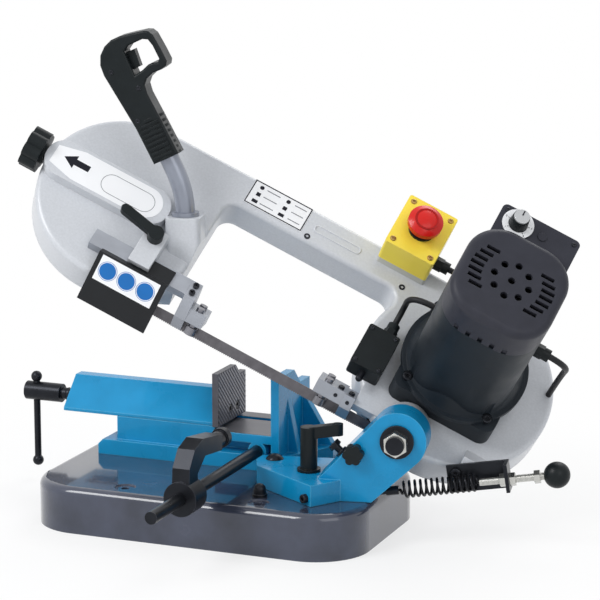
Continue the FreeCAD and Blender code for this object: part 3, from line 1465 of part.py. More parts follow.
def tension_slide():
    """The idler's block in its channel, with the axle that carries the wheel."""
    half_w = s.tension_channel_half_width - s.seat_gap
    low_n = s.bow_front - s.bow_wall - s.overrun + s.seat_gap
    high_n = s.bow_front + s.tension_channel_height - s.seat_gap
    wheel_front = s.wheel_width / 2 + s.wheel_flange_width / 4 + s.seat_gap
    rear = s.wheel_width / 2 + s.seat_gap
    body = block((-s.tension_block_lead, -half_w, low_n),
                 (s.tension_block_length - s.tension_block_lead, half_w, high_n))
    neck = cylinder(s.idler_axle_radius + s.bow_wall, low_n - wheel_front, (0, 0, wheel_front))
    axle = cylinder(s.idler_axle_radius, low_n + rear + s.overrun, (0, 0, -rear - s.overrun))
    keeper = cylinder(s.idler_axle_radius + s.bow_wall, s.overrun, (0, 0, -rear - s.overrun))
    bore = cylinder(s.tension_screw_radius + s.running_gap, s.tension_screw_reach + s.overrun,
                    (-s.tension_block_lead - s.overrun, 0, s.tension_screw_n), TO_X)
    node("tension_slide", cut(fuse(body, neck, axle, keeper), bore), at_axis((IDLER_X, WHEEL_W)))


def tension_knob():
    """A lobed knob on the screw that draws the idler's block."""
    lobes = 8
    low = -s.tension_knob_hub_length - s.seat_gap
    pieces = [cylinder(s.tension_knob_hub_radius, s.tension_knob_hub_length, (low, 0, 0), TO_X),
              cylinder(s.tension_knob_radius - s.tension_knob_lobe_radius / 2, s.tension_knob_length,
                       (low - s.tension_knob_length, 0, 0), TO_X)]
    for i in range(lobes):
        turn = 360 * i / lobes
        reach = s.tension_knob_radius - s.tension_knob_lobe_radius
        pieces.append(cylinder(s.tension_knob_lobe_radius, s.tension_knob_length,
                               (low - s.tension_knob_length, reach * cosine(turn), reach * sine(turn)),
                               TO_X))
    tip = IDLER_X - s.tension_block_lead + s.tension_screw_reach - s.overrun * 5 - s.tension_house_left_x
    pieces.append(cylinder(s.tension_screw_radius, tip - low, (low, 0, 0), TO_X))
    node("tension_knob", fuse(*pieces), at_axis((s.tension_house_left_x, WHEEL_W),
                                                SIZES["tension_screw_n"]))


# Gear train, gearbox and motor about the drive axis


def gear(teeth, low, phase):
    """An involute gear blank from its flank points, a tooth's middle at the phase angle."""
    module, backlash = SIZES["gear_module"], SIZES["gear_backlash"]
    pressure = math.radians(SIZES["gear_pressure_angle"])
    pitch_radius = module * teeth / 2
    base_radius = pitch_radius * math.cos(pressure)
    root, tip = pitch_radius - SIZES["gear_root_share"] * module, pitch_radius + module
    half_tooth = math.pi / (2 * teeth) - backlash / (2 * pitch_radius)

    def half_angle(radius):
        spread = math.acos(min(base_radius / radius, 1))
        return half_tooth + math.tan(pressure) - pressure - math.tan(spread) + spread

    start = max(base_radius, root)
    flank_shares = (0, 0.4, 1)
    flank = [(root, half_angle(start))] + [(r, half_angle(r)) for r in
                                           (start + (tip - start) * share for share in flank_shares)]
    points = []
    for i in range(teeth):
        middle = math.radians(phase) + 2 * math.pi * i / teeth
        side = [(r, middle - a) for r, a in flank] + [(r, middle + a) for r, a in reversed(flank)]
        points += [Vector(r * math.cos(a), r * math.sin(a), low) for r, a in side]
    distinct = [p for p, q in zip(points, points[1:] + points[:1])
                if (p - q).Length > SIZES["running_gap"] / 10]
    face = Part.Face(Part.makePolygon(distinct + distinct[:1]))
    return made(face.extrude(Vector(0, 0, SIZES["gear_width"])))


def upper_gear_low():
    return s.output_gear_low + s.gear_width + s.gear_gap


def drive_shaft():
    """The wheel's shaft with the big gear of the second stage."""
    teeth = SIZES["gear_wheel_teeth"]
    rear = s.wheel_width / 2 + s.seat_gap + s.overrun
    top = s.output_gear_low + s.gear_width + s.gear_gap / 3
    shaft = cylinder(s.drive_shaft_radius, top + rear, (0, 0, -rear))
    keeper = cylinder(s.drive_shaft_radius + s.overrun * 2, s.overrun, (0, 0, -rear))
    big = gear(teeth, SIZES["output_gear_low"], SIZES["gear_angle"] + 180 / teeth)
    node("drive_shaft", fuse(shaft, keeper, big), at_axis(MOTOR_AXIS))


def gear_cluster():
    """The counter shaft: first-stage wheel and second-stage pinion."""
    teeth = SIZES["gear_wheel_teeth"]
    low = s.bow_front - s.bow_wall + s.overrun
    high = s.gearbox_front - s.overrun / 2 - s.seat_gap
    shaft = cylinder(s.counter_shaft_radius, high - low, (0, 0, low))
    pinion = gear(SIZES["gear_pinion_teeth"], SIZES["output_gear_low"], SIZES["gear_angle"] + 180)
    big = gear(teeth, number(upper_gear_low()), SIZES["gear_angle"] + 180 + 180 / teeth)
    node("gear_cluster", fuse(shaft, pinion, big), at_axis(COUNTER_AXIS))


def armature():
    """The motor's turning part: pinion, shaft, core, commutator and fan."""
    low = upper_gear_low() + s.gear_width
    top = s.motor_end - s.motor_wall - s.motor_boss_depth
    core_top = s.armature_low + s.armature_length
    fan_low = core_top + s.fan_gap
    pieces = [gear(SIZES["gear_pinion_teeth"], number(upper_gear_low()), SIZES["gear_angle"]),
              cylinder(s.motor_shaft_radius, top - low, (0, 0, low)),
              cylinder(s.armature_radius, s.armature_length, (0, 0, s.armature_low)),
              cylinder(s.commutator_radius, s.commutator_length,
                       (0, 0, s.armature_low - s.commutator_length - s.gear_gap)),
              cylinder(s.fan_radius, s.fan_length, (0, 0, fan_low))]
    node("armature", fuse(*pieces), at_axis(MOTOR_AXIS))


def gearbox_housing():
    half = s.gearbox_half_width
    shell = prism(soft_rectangle((-half, -half), (half, half), s.gearbox_corner_radius),
                  s.gearbox_front - s.bow_front, s.bow_front)
    tip = s.gear_module * (s.gear_wheel_teeth / 2 + 1) + s.gear_cavity_gap
    step = GEAR_CENTRES * cosine(SIZES["gear_angle"])
    room = s.gearbox_front - s.gearbox_floor - s.bow_front + s.overrun
    cavities = [cylinder(tip, room, (0, 0, s.bow_front - s.overrun)),
                cylinder(tip, room, (step, step, s.bow_front - s.overrun))]
    shaft_hole = cylinder(s.motor_shaft_radius + s.gear_cavity_gap, s.gearbox_front, (0, 0, s.bow_front))
    counter_hole = cylinder(s.counter_shaft_radius + s.running_gap,
                            s.gearbox_floor + s.overrun / 2,
                            (step, step, s.gearbox_front - s.gearbox_floor - s.overrun))
    screw_holes = [cylinder(s.case_screw_radius + s.running_gap, s.case_screw_depth + s.overrun,
                            (*spot, s.gearbox_front - s.case_screw_depth)) for spot in case_screw_spots()]
    node("gearbox_housing", cut(shell, *cavities, shaft_hole, counter_hole, *screw_holes),
         at_axis(MOTOR_AXIS))


def case_screw_spots():
    reach = s.motor_ring_radius - s.case_screw_head_radius / 2
    corner_turns = (45, 135, 225, 315)
    return [(reach * cosine(turn), reach * sine(turn)) for turn in corner_turns]


def motor_outline(gap):
    """The motor's rounded square section about its own axis."""
    half = s.motor_half_width + gap
    return soft_rectangle((-half, -half), (half, half), s.motor_corner_radius + gap)


def motor_housing():
    """A round flange and skirt under a rounded square body, bored for the stator."""
    low = s.gearbox_front
    ring_top = low + s.motor_ring_height
    skirt_top = ring_top + s.motor_skirt_height
    plate_top = low + s.motor_plate
    bearing = s.motor_bearing_radius + s.running_gap
    foot = turned([(bearing, low), (s.motor_ring_radius, low), (s.motor_ring_radius, ring_top),
                   (s.motor_skirt_radius, ring_top), (s.motor_half_width, skirt_top),
                   (s.motor_bore_radius, skirt_top), (s.motor_bore_radius, plate_top),
                   (bearing, plate_top)])
    body = cut(prism(motor_outline(0), s.motor_split - ring_top, ring_top),
               cylinder(s.motor_bore_radius, s.motor_split, (0, 0, low)))
    holes = []
    for spot in case_screw_spots():
        holes.append(cylinder(s.case_screw_head_radius + s.seat_gap, s.motor_skirt_height * 2,
                              (*spot, ring_top - s.case_screw_head_height)))
        holes.append(cylinder(s.case_screw_radius + s.running_gap, s.motor_ring_height * 2,
                              (*spot, low - s.overrun)))
    node("motor_housing", cut(fuse(foot, body), *holes), at_axis(MOTOR_AXIS))


def motor_vents(front):
    """Round holes in the middle of the cap, a crescent of slots each side, notches at its foot."""
    vent_count, slots_each_way, notches_each_way = 8, 3, 2
    depth = s.motor_wall * 3
    vents = [cylinder(s.motor_vent_radius, depth, (0, 0, front - s.motor_wall))]
    for i in range(vent_count):
        turn = 360 * i / vent_count
        vents.append(cylinder(s.motor_vent_radius, depth,
                              (s.motor_vent_circle_radius * cosine(turn),
                               s.motor_vent_circle_radius * sine(turn),
                               front - s.motor_wall)))
    for side in (-1, 1):
        for i in range(-slots_each_way, slots_each_way + 1):
            middle = (s.motor_slot_offset - s.motor_slot_step * i ** 2) * side
            low_w = s.motor_slot_pitch * i - s.motor_slot_width / 2
            vents.append(block((middle - s.motor_slot_length / 2, low_w, front - s.motor_wall),
                               (middle + s.motor_slot_length / 2, low_w + s.motor_slot_width,
                                s.motor_end + s.overrun)))
    for i in range(-notches_each_way, notches_each_way + 1):
        left_x = s.motor_notch_pitch * i - s.motor_notch_width / 2
        vents.append(block((left_x, -s.motor_half_width - s.overrun, s.motor_split - s.overrun),
                           (left_x + s.motor_notch_width, s.motor_notch_depth - s.motor_half_width,
                            s.motor_split + s.motor_notch_height)))
    return vents


def motor_end_cap():
    """The vented cap; its rear bearing sits in the boss behind the middle."""
    front = s.motor_end - s.motor_wall
    boss_low = front - s.motor_boss_depth - s.motor_bearing_width
    below_end = SIZES["motor_end"] - SIZES["running_gap"]
    body = rounded(prism(motor_outline(0), s.motor_end - s.motor_split, s.motor_split), s.motor_cap_round,
                   lambda edge: edge.BoundBox.ZMin > below_end)
    hollow = cylinder(s.motor_bore_radius, front - s.motor_split + s.overrun,
                      (0, 0, s.motor_split - s.overrun))
    boss = ring(s.motor_boss_radius, s.motor_bearing_radius + s.running_gap, front - boss_low + s.overrun,
                (0, 0, boss_low))
    node("motor_end_cap", cut(fuse(cut(body, hollow), boss), *motor_vents(front)), at_axis(MOTOR_AXIS))


def motor_stator():
    inner = s.armature_radius + s.stator_gap
    node("motor_stator", ring(s.motor_bore_radius, inner, s.armature_length, (0, 0, s.armature_low)),
         at_axis(MOTOR_AXIS))


def shaft_bearings():
    shaft = s.motor_shaft_radius + s.running_gap
    cap_low = s.motor_end - s.motor_wall - s.motor_boss_depth - s.motor_bearing_width
    rings = [ring(s.drive_bearing_radius, s.drive_shaft_radius + s.running_gap,
                  s.bow_front - s.drive_bearing_low,
                  (0, 0, s.drive_bearing_low)),
             ring(s.motor_bearing_radius, shaft, s.motor_bearing_width, (0, 0, s.gearbox_front)),
             ring(s.motor_bearing_radius, shaft, s.motor_bearing_width, (0, 0, cap_low))]
    node("shaft_bearings", group(*rings), at_axis(MOTOR_AXIS))


# Electrical boxes, glands and leads


def control_box():
    low, high = (s.control_left_x, s.control_low_w), (s.control_left_x + s.control_length, s.control_top_w)
    body = prism(soft_rectangle(low, high, s.control_round), s.control_front_n - s.control_rear_n,
                 s.control_rear_n)
    saddle = moved(prism(motor_outline(s.seat_gap), s.motor_end),
                   Placement(Vector(*[number(c) for c in MOTOR_AXIS], 0), Rotation()))
    dial = cylinder(s.dial_radius, s.dial_thickness + s.overrun,
                    (s.dial_x, s.dial_w, s.control_front_n - s.overrun))
    blank = cylinder(s.blank_disc_radius, s.dial_thickness + s.overrun,
                     (s.blank_disc_x, s.dial_w, s.control_front_n - s.overrun))
    stem = cylinder(s.speed_stem_radius + s.running_gap, s.speed_stem_depth + s.dial_thickness + s.overrun,
                    (s.dial_x, s.dial_w, s.control_front_n - s.speed_stem_depth))
    node("control_box", cut(fuse(body, dial, blank), saddle, stem), BOW)


def speed_knob():
    low = s.dial_thickness + s.seat_gap
    node("speed_knob", fuse(cylinder(s.speed_stem_radius, low + s.speed_stem_depth - s.overrun,
                                     (0, 0, s.overrun - s.speed_stem_depth)),
                            cone(s.speed_knob_radius, s.speed_knob_radius * s.speed_knob_top_share,
                                 s.speed_knob_height, (0, 0, low))),
         BOW * Placement(Vector(SIZES["dial_x"], SIZES["dial_w"], SIZES["control_front_n"]), Rotation()))


def estop_corners(inset):
    low = (s.estop_left_x + inset, s.estop_low_w + inset)
    return low, (s.estop_left_x + s.estop_length - inset, s.estop_low_w + s.estop_width - inset)


def estop_base():
    body = prism(soft_rectangle(*estop_corners(0), s.estop_round), s.estop_base_height, s.bow_front)
    room = prism(rectangle(*estop_corners(s.estop_screw_inset * 2)), s.estop_base_height,
                 s.bow_front + s.estop_wall)
    node("estop_base", cut(body, room), BOW)


def estop_lid():
    low = s.bow_front + s.estop_base_height
    body = prism(soft_rectangle(*estop_corners(0), s.estop_round), s.estop_lid_height, low)
    room = prism(rectangle(*estop_corners(s.estop_screw_inset * 2)), s.estop_lid_height, low - s.estop_wall)
    middle = (s.estop_left_x + s.estop_length / 2, s.estop_low_w + s.estop_width / 2)
    hole = cylinder(s.estop_stem_radius + s.running_gap, s.estop_lid_height * 2, (*middle, low))
    node("estop_lid", cut(body, room, hole), BOW)


def estop_button():
    low = s.bow_front + s.estop_base_height + s.estop_lid_height
    stem_low = -s.estop_lid_height / 2
    stem = cylinder(s.estop_stem_radius, s.estop_stem_height - stem_low, (0, 0, stem_low))
    crown = cap_radius(s.estop_head_radius, s.estop_head_crown)
    top = s.estop_stem_height + s.estop_head_height
    head = common(cylinder(s.estop_head_radius, s.estop_head_height, (0, 0, s.estop_stem_height)),
                  ball(crown, (0, 0, top - crown)))
    node("estop_button", fuse(stem, head),
         BOW * Placement(Vector(SIZES["estop_left_x"] + SIZES["estop_length"] / 2,
                                SIZES["estop_low_w"] + SIZES["estop_width"] / 2, number(low)), Rotation()))


def limit_switch():
    low = (s.switch_left_x, s.switch_low_w)
    body = prism(soft_rectangle(low, (s.switch_left_x + s.switch_length, s.switch_low_w + s.switch_width),
                                s.switch_round), s.switch_height, s.bow_front)
    bore = cylinder(s.plunger_radius + s.running_gap, s.plunger_length * 2,
                    (s.plunger_x, s.switch_low_w - s.plunger_length, s.plunger_n), TO_Y)
    node("limit_switch", cut(body, bore), BOW)


def switch_plunger():
    low_w = s.switch_low_w - s.plunger_nose
    node("switch_plunger", fuse(cylinder(s.plunger_radius, s.plunger_length,
                                         (s.plunger_x, low_w, s.plunger_n), TO_Y),
                                ball(s.plunger_radius, (s.plunger_x, low_w, s.plunger_n))), BOW)


def gland(at, turn):
    """A cable gland: body and cap nut with a bore for the lead."""
    nut_at = Placement(Vector(*[number(c) for c in at]), turn) * Vector(0, 0, SIZES["gland_length"])
    bore = cylinder(s.lead_radius + s.running_gap, (s.gland_length + s.gland_nut_length) * 2, at, turn)
    return cut(fuse(hexagon(s.gland_radius * math.sqrt(3), s.gland_length, at, turn),
                    cylinder(s.gland_nut_radius, s.gland_nut_length, (nut_at.x, nut_at.y, nut_at.z),
                             turn)), bore)


def gland_spots():
    motor_side = s.drive_wheel_x + s.motor_half_width + s.seat_gap
    return ((s.estop_left_x + s.estop_length, s.estop_gland_w, s.estop_gland_n),
            (s.switch_gland_x, s.switch_low_w + s.switch_width, s.switch_gland_n),
            (motor_side, s.motor_gland_w, s.motor_gland_n))


def cable_glands():
    estop, switch, motor = gland_spots()
    node("cable_glands", group(gland(estop, TO_X), gland(switch, TO_Y), gland(motor, TO_X)), BOW)


def bent_path(points, bend):
    """The path along straight runs with tangent bends, and its length."""
    spots = [Vector(*[number(c) for c in p]) for p in points]
    edges, start, length = [], spots[0], 0
    for before, corner, after in zip(spots, spots[1:], spots[2:]):
        into, out = (corner - before).normalize(), (after - corner).normalize()
        turn = into.getAngle(out)
        reach = bend * math.tan(turn / 2)
        first, last = corner - into * reach, corner + out * reach
        inward = (out - into).normalize()
        middle = corner + inward * (bend / math.cos(turn / 2) - bend)
        edges.append(Part.LineSegment(start, first).toShape())
        edges.append(Part.Arc(first, middle, last).toShape())
        length += (first - start).Length + bend * turn
        start = last
    edges.append(Part.LineSegment(start, spots[-1]).toShape())
    length += (spots[-1] - start).Length
    return Part.Wire(edges), length


def swept(path, section, radius, length):
    """Sweeps a round section along a path and checks the volume."""
    solid = path.makePipeShell([section], True, False)
    share = solid.Volume / (math.pi * radius ** 2 * length)
    if abs(share - 1) > SIZES["sweep_error_share"]:
        raise RuntimeError(f"a swept round holds {share:.4f} of its volume")
    return solid


def tube(points, bend, radius):
    """A round bar along straight runs with tangent bends."""
    path, length = bent_path(points, bend)
    way = Vector(*[number(c) for c in points[1]]) - Vector(*[number(c) for c in points[0]])
    section = Part.Wire([Part.Circle(Vector(*[number(c) for c in points[0]]), way, radius).toShape()])
    return swept(path, section, radius, length)


def control_leads():
    estop, switch, motor = [[number(c) for c in spot] for spot in gland_spots()]
    radius, bend = SIZES["lead_radius"], SIZES["lead_bend"]
    sunk = SIZES["gland_length"]
    box_rear = SIZES["control_rear_n"] - SIZES["seat_gap"]
    face = SIZES["bow_front"] + SIZES["seat_gap"]
    top_w = SIZES["lead_top_w"]
    runs = [
        [(estop[0] + sunk, estop[1], estop[2]), (SIZES["lead_rise_x"], estop[1], estop[2]),
         (SIZES["lead_rise_x"], top_w, SIZES["lead_rise_n"]), (SIZES["lead_rise_x"], top_w, box_rear)],
        [(switch[0], switch[1] + sunk, switch[2]), (switch[0], SIZES["switch_lead_w"], switch[2]),
         (switch[0], SIZES["switch_lead_w"], SIZES["switch_lead_n"]),
         (SIZES["switch_lead_x"], SIZES["switch_lead_w"], SIZES["switch_lead_n"])],
        [(motor[0] + sunk, motor[1], motor[2]), (SIZES["motor_lead_x"], motor[1], motor[2]),
         (SIZES["motor_lead_x"], SIZES["motor_lead_w"], SIZES["motor_lead_n"]),
         (SIZES["motor_lead_x"], SIZES["motor_lead_w"], face)],
    ]
    node("control_leads", group(*[made(tube(run, bend, radius)) for run in runs]), BOW)


# Handle in the head's frame


def grip_place():
    """The grip's start on the tube: x along the grip, y across it, z to the back."""
    along = Vector(-sine(SIZES["grip_angle"]), 0, cosine(SIZES["grip_angle"]))
    up = Vector(cosine(SIZES["grip_angle"]), 0, sine(SIZES["grip_angle"]))
    spot = Vector(SIZES["grip_x"], SIZES["handle_y"], SIZES["grip_z"])
    return Placement(spot, Rotation(along, up, Y_AXIS, "XYZ"))


def tube_path():
    """Foot, bend and end of the bent tube, in head coordinates."""
    foot = handle_place()
    start = foot * Vector(0, 0, SIZES["tube_start"])
    rise = foot.Rotation * Z_AXIS
    grip = grip_place()
    run = grip.Rotation * X_AXIS
    gap = grip.Base - start
    corner_reach = (gap.x * run.z - gap.z * run.x) / (rise.x * run.z - rise.z * run.x)
    corner = start + rise * corner_reach
    return [start, corner, grip * Vector(SIZES["tube_in_grip"], 0, 0)]


def handle_tube():
    points = [tuple(p) for p in tube_path()]
    bent = made(tube(points, SIZES["tube_bend_radius"], SIZES["tube_radius"]))
    collar = cylinder(s.collar_ring_radius, s.collar_ring_height, (0, 0, s.collar_reach + s.seat_gap))
    moved(collar, handle_place())
    node("handle_tube", fuse(bent, collar), HEAD)


def handle_grip():
    """The D-shaped grip over the tube, with a ribbed sleeve and the trigger's pocket."""
    half = SIZES["grip_thickness"] / 2
    body = prism(outline("grip"), s.grip_thickness, -s.grip_thickness / 2, "XY_Plane",
                 [outline("grip_window")])
    flat_gap = SIZES["running_gap"]
    body = rounded(body, s.grip_round, lambda edge: abs(abs(edge.CenterOfMass.z) - half) < flat_gap
                   and edge.BoundBox.ZLength < flat_gap)
    ribs = []
    pitch = s.sleeve_length / s.rib_count
    for i in range(int(SIZES["rib_count"])):
        ribs.append(cylinder(s.sleeve_radius, pitch / 2, (pitch * i, 0, 0), TO_X))
    bore = cylinder(s.tube_radius + s.running_gap, s.tube_in_grip + s.overrun * 2, (-s.overrun, 0, 0), TO_X)
    half_width = s.trigger_width / 2 + s.seat_gap
    pocket = block((s.trigger_low - s.seat_gap, -s.trigger_depth * 2, -half_width),
                   (s.trigger_low + s.trigger_length + s.seat_gap, s.trigger_reach, half_width))
    node("handle_grip", cut(fuse(body, *ribs), bore, pocket), HEAD * grip_place())


def trigger():
    half_width = s.trigger_width / 2
    nose = s.trigger_reach + s.trigger_depth
    body = prism([(s.trigger_low, -s.trigger_depth / 2),
                  (s.trigger_low + s.trigger_length, -s.trigger_depth / 2),
                  (s.trigger_low + s.trigger_length, nose - s.overrun),
                  (s.trigger_low, nose - s.overrun * 2)],
                 s.trigger_width, -half_width)
    node("trigger", body, HEAD * grip_place())


# Blade guides


def guide_body(face_x, length, nose_length, corners, nose_side):
    """A guide block: a plate across the blade and a nose over it; the plate is slotted for the band."""
    plate = prism(corners, length, face_x, "YZ_Plane")
    half = s.guide_block_half_width
    nose_x = face_x + length if nose_side > 0 else face_x - nose_length
    low_z = s.guide_nose_low_z
    nose = block((nose_x, -half, low_z), (nose_x + nose_length, half, low_z + s.guide_nose_height))
    slot = block((face_x - s.overrun, -s.guide_slot_width / 2, s.guide_low_z - s.overrun),
                 (face_x + length + s.overrun, s.guide_slot_width / 2, low_z))
    return fuse(plate, nose), slot


def guide_jaws(left_y, right_y):
    """The lower edge of a guide plate, down both sides of the band."""
    return [(left_y, s.guide_nose_low_z), (-s.guide_jaw_half_width, s.guide_low_z),
            (s.guide_jaw_half_width, s.guide_low_z), (right_y, s.guide_nose_low_z)]


def bearing_holes(x):
    side = s.guide_bearing_radius + s.blade_thickness / 2 + s.guide_side_gap
    return [cylinder(s.guide_stud_radius + s.running_gap, s.guide_nose_height * 2,
                     (x, sign * side, s.guide_nose_low_z - s.overrun)) for sign in (-1, 1)]


def guide_bearings(x):
    """Two rollers on studs, one each side of the band."""
    side = s.guide_bearing_radius + s.blade_thickness / 2 + s.guide_side_gap
    high_z = s.guide_nose_low_z - s.guide_bearing_drop
    nut_z = s.guide_nose_low_z + s.guide_nose_height
    low_z = high_z - s.guide_bearing_height
    pieces = []
    for sign in (-1, 1):
        at = (x, sign * side)
        pieces.append(ring(s.guide_bearing_radius, s.guide_stud_radius + s.running_gap,
                           s.guide_bearing_height,
                           (*at, low_z)))
        pieces.append(fuse(cylinder(s.guide_stud_radius, nut_z - low_z + s.guide_stud_nut_height,
                                    (*at, low_z)),
                           cylinder(s.guide_stud_nut_radius, s.guide_bearing_drop - s.seat_gap,
                                    (*at, high_z + s.seat_gap)),
                           cylinder(s.guide_stud_nut_radius, s.guide_stud_nut_height, (*at, nut_z))))
    return group(*pieces)


def left_nose_x():
    return s.guide_bar_right_x + s.guide_block_length


def guide_bar():
    low_n = s.bow_front + s.seat_gap
    node("guide_bar", block((s.guide_bar_left_x, s.guide_bar_low_w, low_n),
                            (s.guide_bar_right_x, s.guide_bar_low_w + s.guide_bar_width,
                             low_n + s.guide_bar_thickness)), BOW)


def left_guide_block():
    low_n, high_w = s.bow_front + s.seat_gap, s.guide_bar_low_w + s.guide_bar_width
    high_n = low_n + s.guide_bar_thickness
    half = s.guide_block_half_width
    corners = [*guide_jaws(-half, half), (half, s.guide_nose_low_z + s.guide_nose_height),
               across(high_w, low_n),
               across(high_w, high_n), across(s.guide_bar_low_w, high_n)]
    body, slot = guide_body(s.guide_bar_right_x, s.guide_block_length, s.guide_nose_length, corners, 1)
    node("left_guide_block", cut(body, slot, *bearing_holes(left_nose_x() + s.guide_nose_length / 2)), HEAD)


def left_guide_bearings():
    node("left_guide_bearings", guide_bearings(left_nose_x() + s.guide_nose_length / 2), HEAD)


def guard_plate():
    """A bent sheet: a tab on the guide bar, a fold to the front and an upright face before the band."""
    bar_n = s.bow_front + s.seat_gap + s.guide_bar_thickness
    thick, high_z = SIZES["guard_thickness"], SIZES["guard_high_z"]
    low_y = across(s.guard_fold_w, bar_n)[0]
    back_step = across(0, bar_n)[0] - across(0, bar_n)[1]
    face = prism([(low_y, s.guard_low_z), (low_y, high_z - thick),
                  (high_z - thick + back_step, high_z - thick),
                  (high_z + back_step, high_z), (low_y - thick, high_z), (low_y - thick, s.guard_low_z)],
                 s.guard_length, s.guard_left_x, "YZ_Plane")
    tab_top = s.guide_bar_low_w + s.guard_tab_width
    low, top = (high_z - thick + back_step, high_z - thick), across(tab_top, bar_n)
    front_top = across(tab_top, bar_n + s.guard_thickness)
    front_step = across(0, bar_n + s.guard_thickness)[0] - across(0, bar_n + s.guard_thickness)[1]
    tab = prism([low, top, front_top, (high_z - thick + front_step, high_z - thick)], s.guard_tab_length,
                s.guard_left_x + s.guard_length - s.guard_tab_length, "YZ_Plane")
    node("guard_plate", fuse(face, tab), HEAD)


def guide_lever():
    top = guide_bridge_n() + s.guide_clamp_height
    low = s.seat_gap
    half = s.guide_lever_width / 2
    stud = cylinder(s.guide_lever_stud_radius, s.guide_clamp_height - s.overrun + low,
                    (0, 0, s.overrun - s.guide_clamp_height))
    hub = cylinder(s.guide_lever_radius, s.guide_lever_height, (0, 0, low))
    arm = block((-s.guide_lever_length, -half, low + s.guide_lever_height / 3),
                (0, half, low + s.guide_lever_height))
    end = cylinder(half, s.guide_lever_height * 2 / 3,
                   (-s.guide_lever_length, 0, low + s.guide_lever_height / 3))
    x, w = guide_lever_spot()
    node("guide_lever", fuse(stud, hub, arm, end),
         BOW * Placement(Vector(number(x), number(w), number(top)),
                         Rotation(Z_AXIS, SIZES["guide_lever_angle"])))


def right_guide_block():
    half = s.guide_block_half_width
    high = s.guide_nose_low_z + s.guide_nose_height
    corners = [*guide_jaws(-half - s.right_guide_front, half), (half / 2, high),
               (-half - s.right_guide_front, high)]
    face_x = s.right_guide_face_x - s.right_guide_length
    body, slot = guide_body(face_x, s.right_guide_length, s.right_guide_nose_length, corners, -1)
    node("right_guide_block", cut(body, slot, *bearing_holes(right_bearing_x())), HEAD)


def right_bearing_x():
    return s.right_guide_face_x - s.right_guide_length - s.right_guide_nose_length * 2 / 3


def right_guide_bearings():
    node("right_guide_bearings", guide_bearings(right_bearing_x()), HEAD)


# Head pivot and counter spring


def pivot_shaft():
    node("pivot_shaft", cylinder(s.pivot_radius, s.pivot_thread_end - s.pivot_inner_front - s.overrun,
                                 (0, -s.pivot_inner_front - s.overrun, 0), TO_FRONT), HEAD)


def pivot_washer():
    node("pivot_washer", ring(s.washer_radius, s.pivot_radius + s.running_gap, s.washer_thickness,
                              (0, -s.ear_front - s.seat_gap, 0), TO_FRONT), HEAD)


def pivot_nut():
    at = (0, -s.ear_front - s.seat_gap - s.washer_thickness, 0)
    node("pivot_nut", cut(hexagon(s.nut_width_flats, s.nut_height, at, TO_FRONT),
                          cylinder(s.pivot_radius + s.running_gap, s.nut_height * 3, (0, -s.ear_front, 0),
                                   TO_FRONT)),
         HEAD)


def bracket_x(u):
    """A distance along the spring's line from a distance along the arm."""
    return u - s.anchor_u


def spring_bracket():
    """An angle plate on the head; the adjuster passes through its flange."""
    plate_y = s.anchor_front - s.ear_back
    left, right = bracket_x(s.bracket_left_u), bracket_x(s.bracket_left_u) + s.bracket_length
    low_z = -s.bracket_drop
    plate = block((left, plate_y - s.bracket_thickness, low_z), (right, plate_y, low_z + s.bracket_height))
    flange = block((right - s.bracket_thickness, -s.bracket_flange / 2, low_z),
                   (right, plate_y, low_z + s.bracket_height))
    hole = cylinder(s.adjuster_radius + s.running_gap, s.bracket_flange,
                    (right - s.bracket_flange / 2, 0, 0), TO_X)
    node("spring_bracket", cut(fuse(plate, flange), hole), ARM * SPRING_LINE)


def spring_adjuster():
    left, right = bracket_x(s.adjuster_left_u), bracket_x(s.adjuster_right_u)
    bore = cylinder(s.spring_wire_radius + s.running_gap, s.spring_seat + s.overrun,
                    (left - s.overrun, 0, 0), TO_X)
    node("spring_adjuster", cut(cylinder(s.adjuster_radius, right - left, (left, 0, 0), TO_X), bore),
         ARM * SPRING_LINE)


def adjuster_nuts():
    flange_right = bracket_x(s.bracket_left_u) + s.bracket_length
    spots = (flange_right - s.bracket_thickness - s.adjuster_nut_height, flange_right,
             bracket_x(s.adjuster_lock_u))
    nuts = []
    for x in spots:
        bore = cylinder(s.adjuster_radius + s.running_gap, s.adjuster_nut_height * 3,
                        (x - s.adjuster_nut_height, 0, 0), TO_X)
        nuts.append(cut(hexagon(s.adjuster_nut_width, s.adjuster_nut_height, (x, 0, 0), TO_X), bore))
    node("adjuster_nuts", group(*nuts), ARM * SPRING_LINE)


def adjuster_knob():
    right = bracket_x(s.adjuster_right_u)
    centre = right + s.adjuster_knob_radius - s.overrun * 5
    bore = cylinder(s.adjuster_radius + s.running_gap, s.adjuster_knob_radius * 2,
                    (right - s.adjuster_knob_radius * 2, 0, 0), TO_X)
    node("adjuster_knob", cut(ball(s.adjuster_knob_radius, (centre, 0, 0)), bore), ARM * SPRING_LINE)


def two_arcs(start, way, end, end_way):
    """Two tangent arcs from a point and direction to another."""
    chord, ways = end - start, way + end_way
    spread = 1 - way.dot(end_way)
    along = chord.dot(ways)
    reach = (math.sqrt(along ** 2 + 2 * spread * chord.dot(chord)) - along) / (2 * spread)
    first, last = start + way * reach, end - end_way * reach
    joint = (first + last) / 2
    arcs = []
    for a, corner, b in ((start, first, joint), (joint, last, end)):
        middle = (a + b) / 2
        rise = corner - middle
        half_turn = (corner - a).getAngle(b - corner) / 2
        arcs.append(Part.Arc(a, middle + rise * (math.cos(half_turn) / (1 + math.cos(half_turn))),
                             b).toShape())
    return arcs


def least_gap(path, radius, wire):
    """The least gap between a wound wire's turns, measured between points at least half a turn apart."""
    points_a_turn = 40
    count = int(points_a_turn * path.Length / (2 * math.pi * radius))
    spots = path.discretize(Number=count)
    half_turn = points_a_turn // 2
    return min((a - b).Length for i, a in enumerate(spots) for b in spots[i + half_turn:]) - 2 * wire


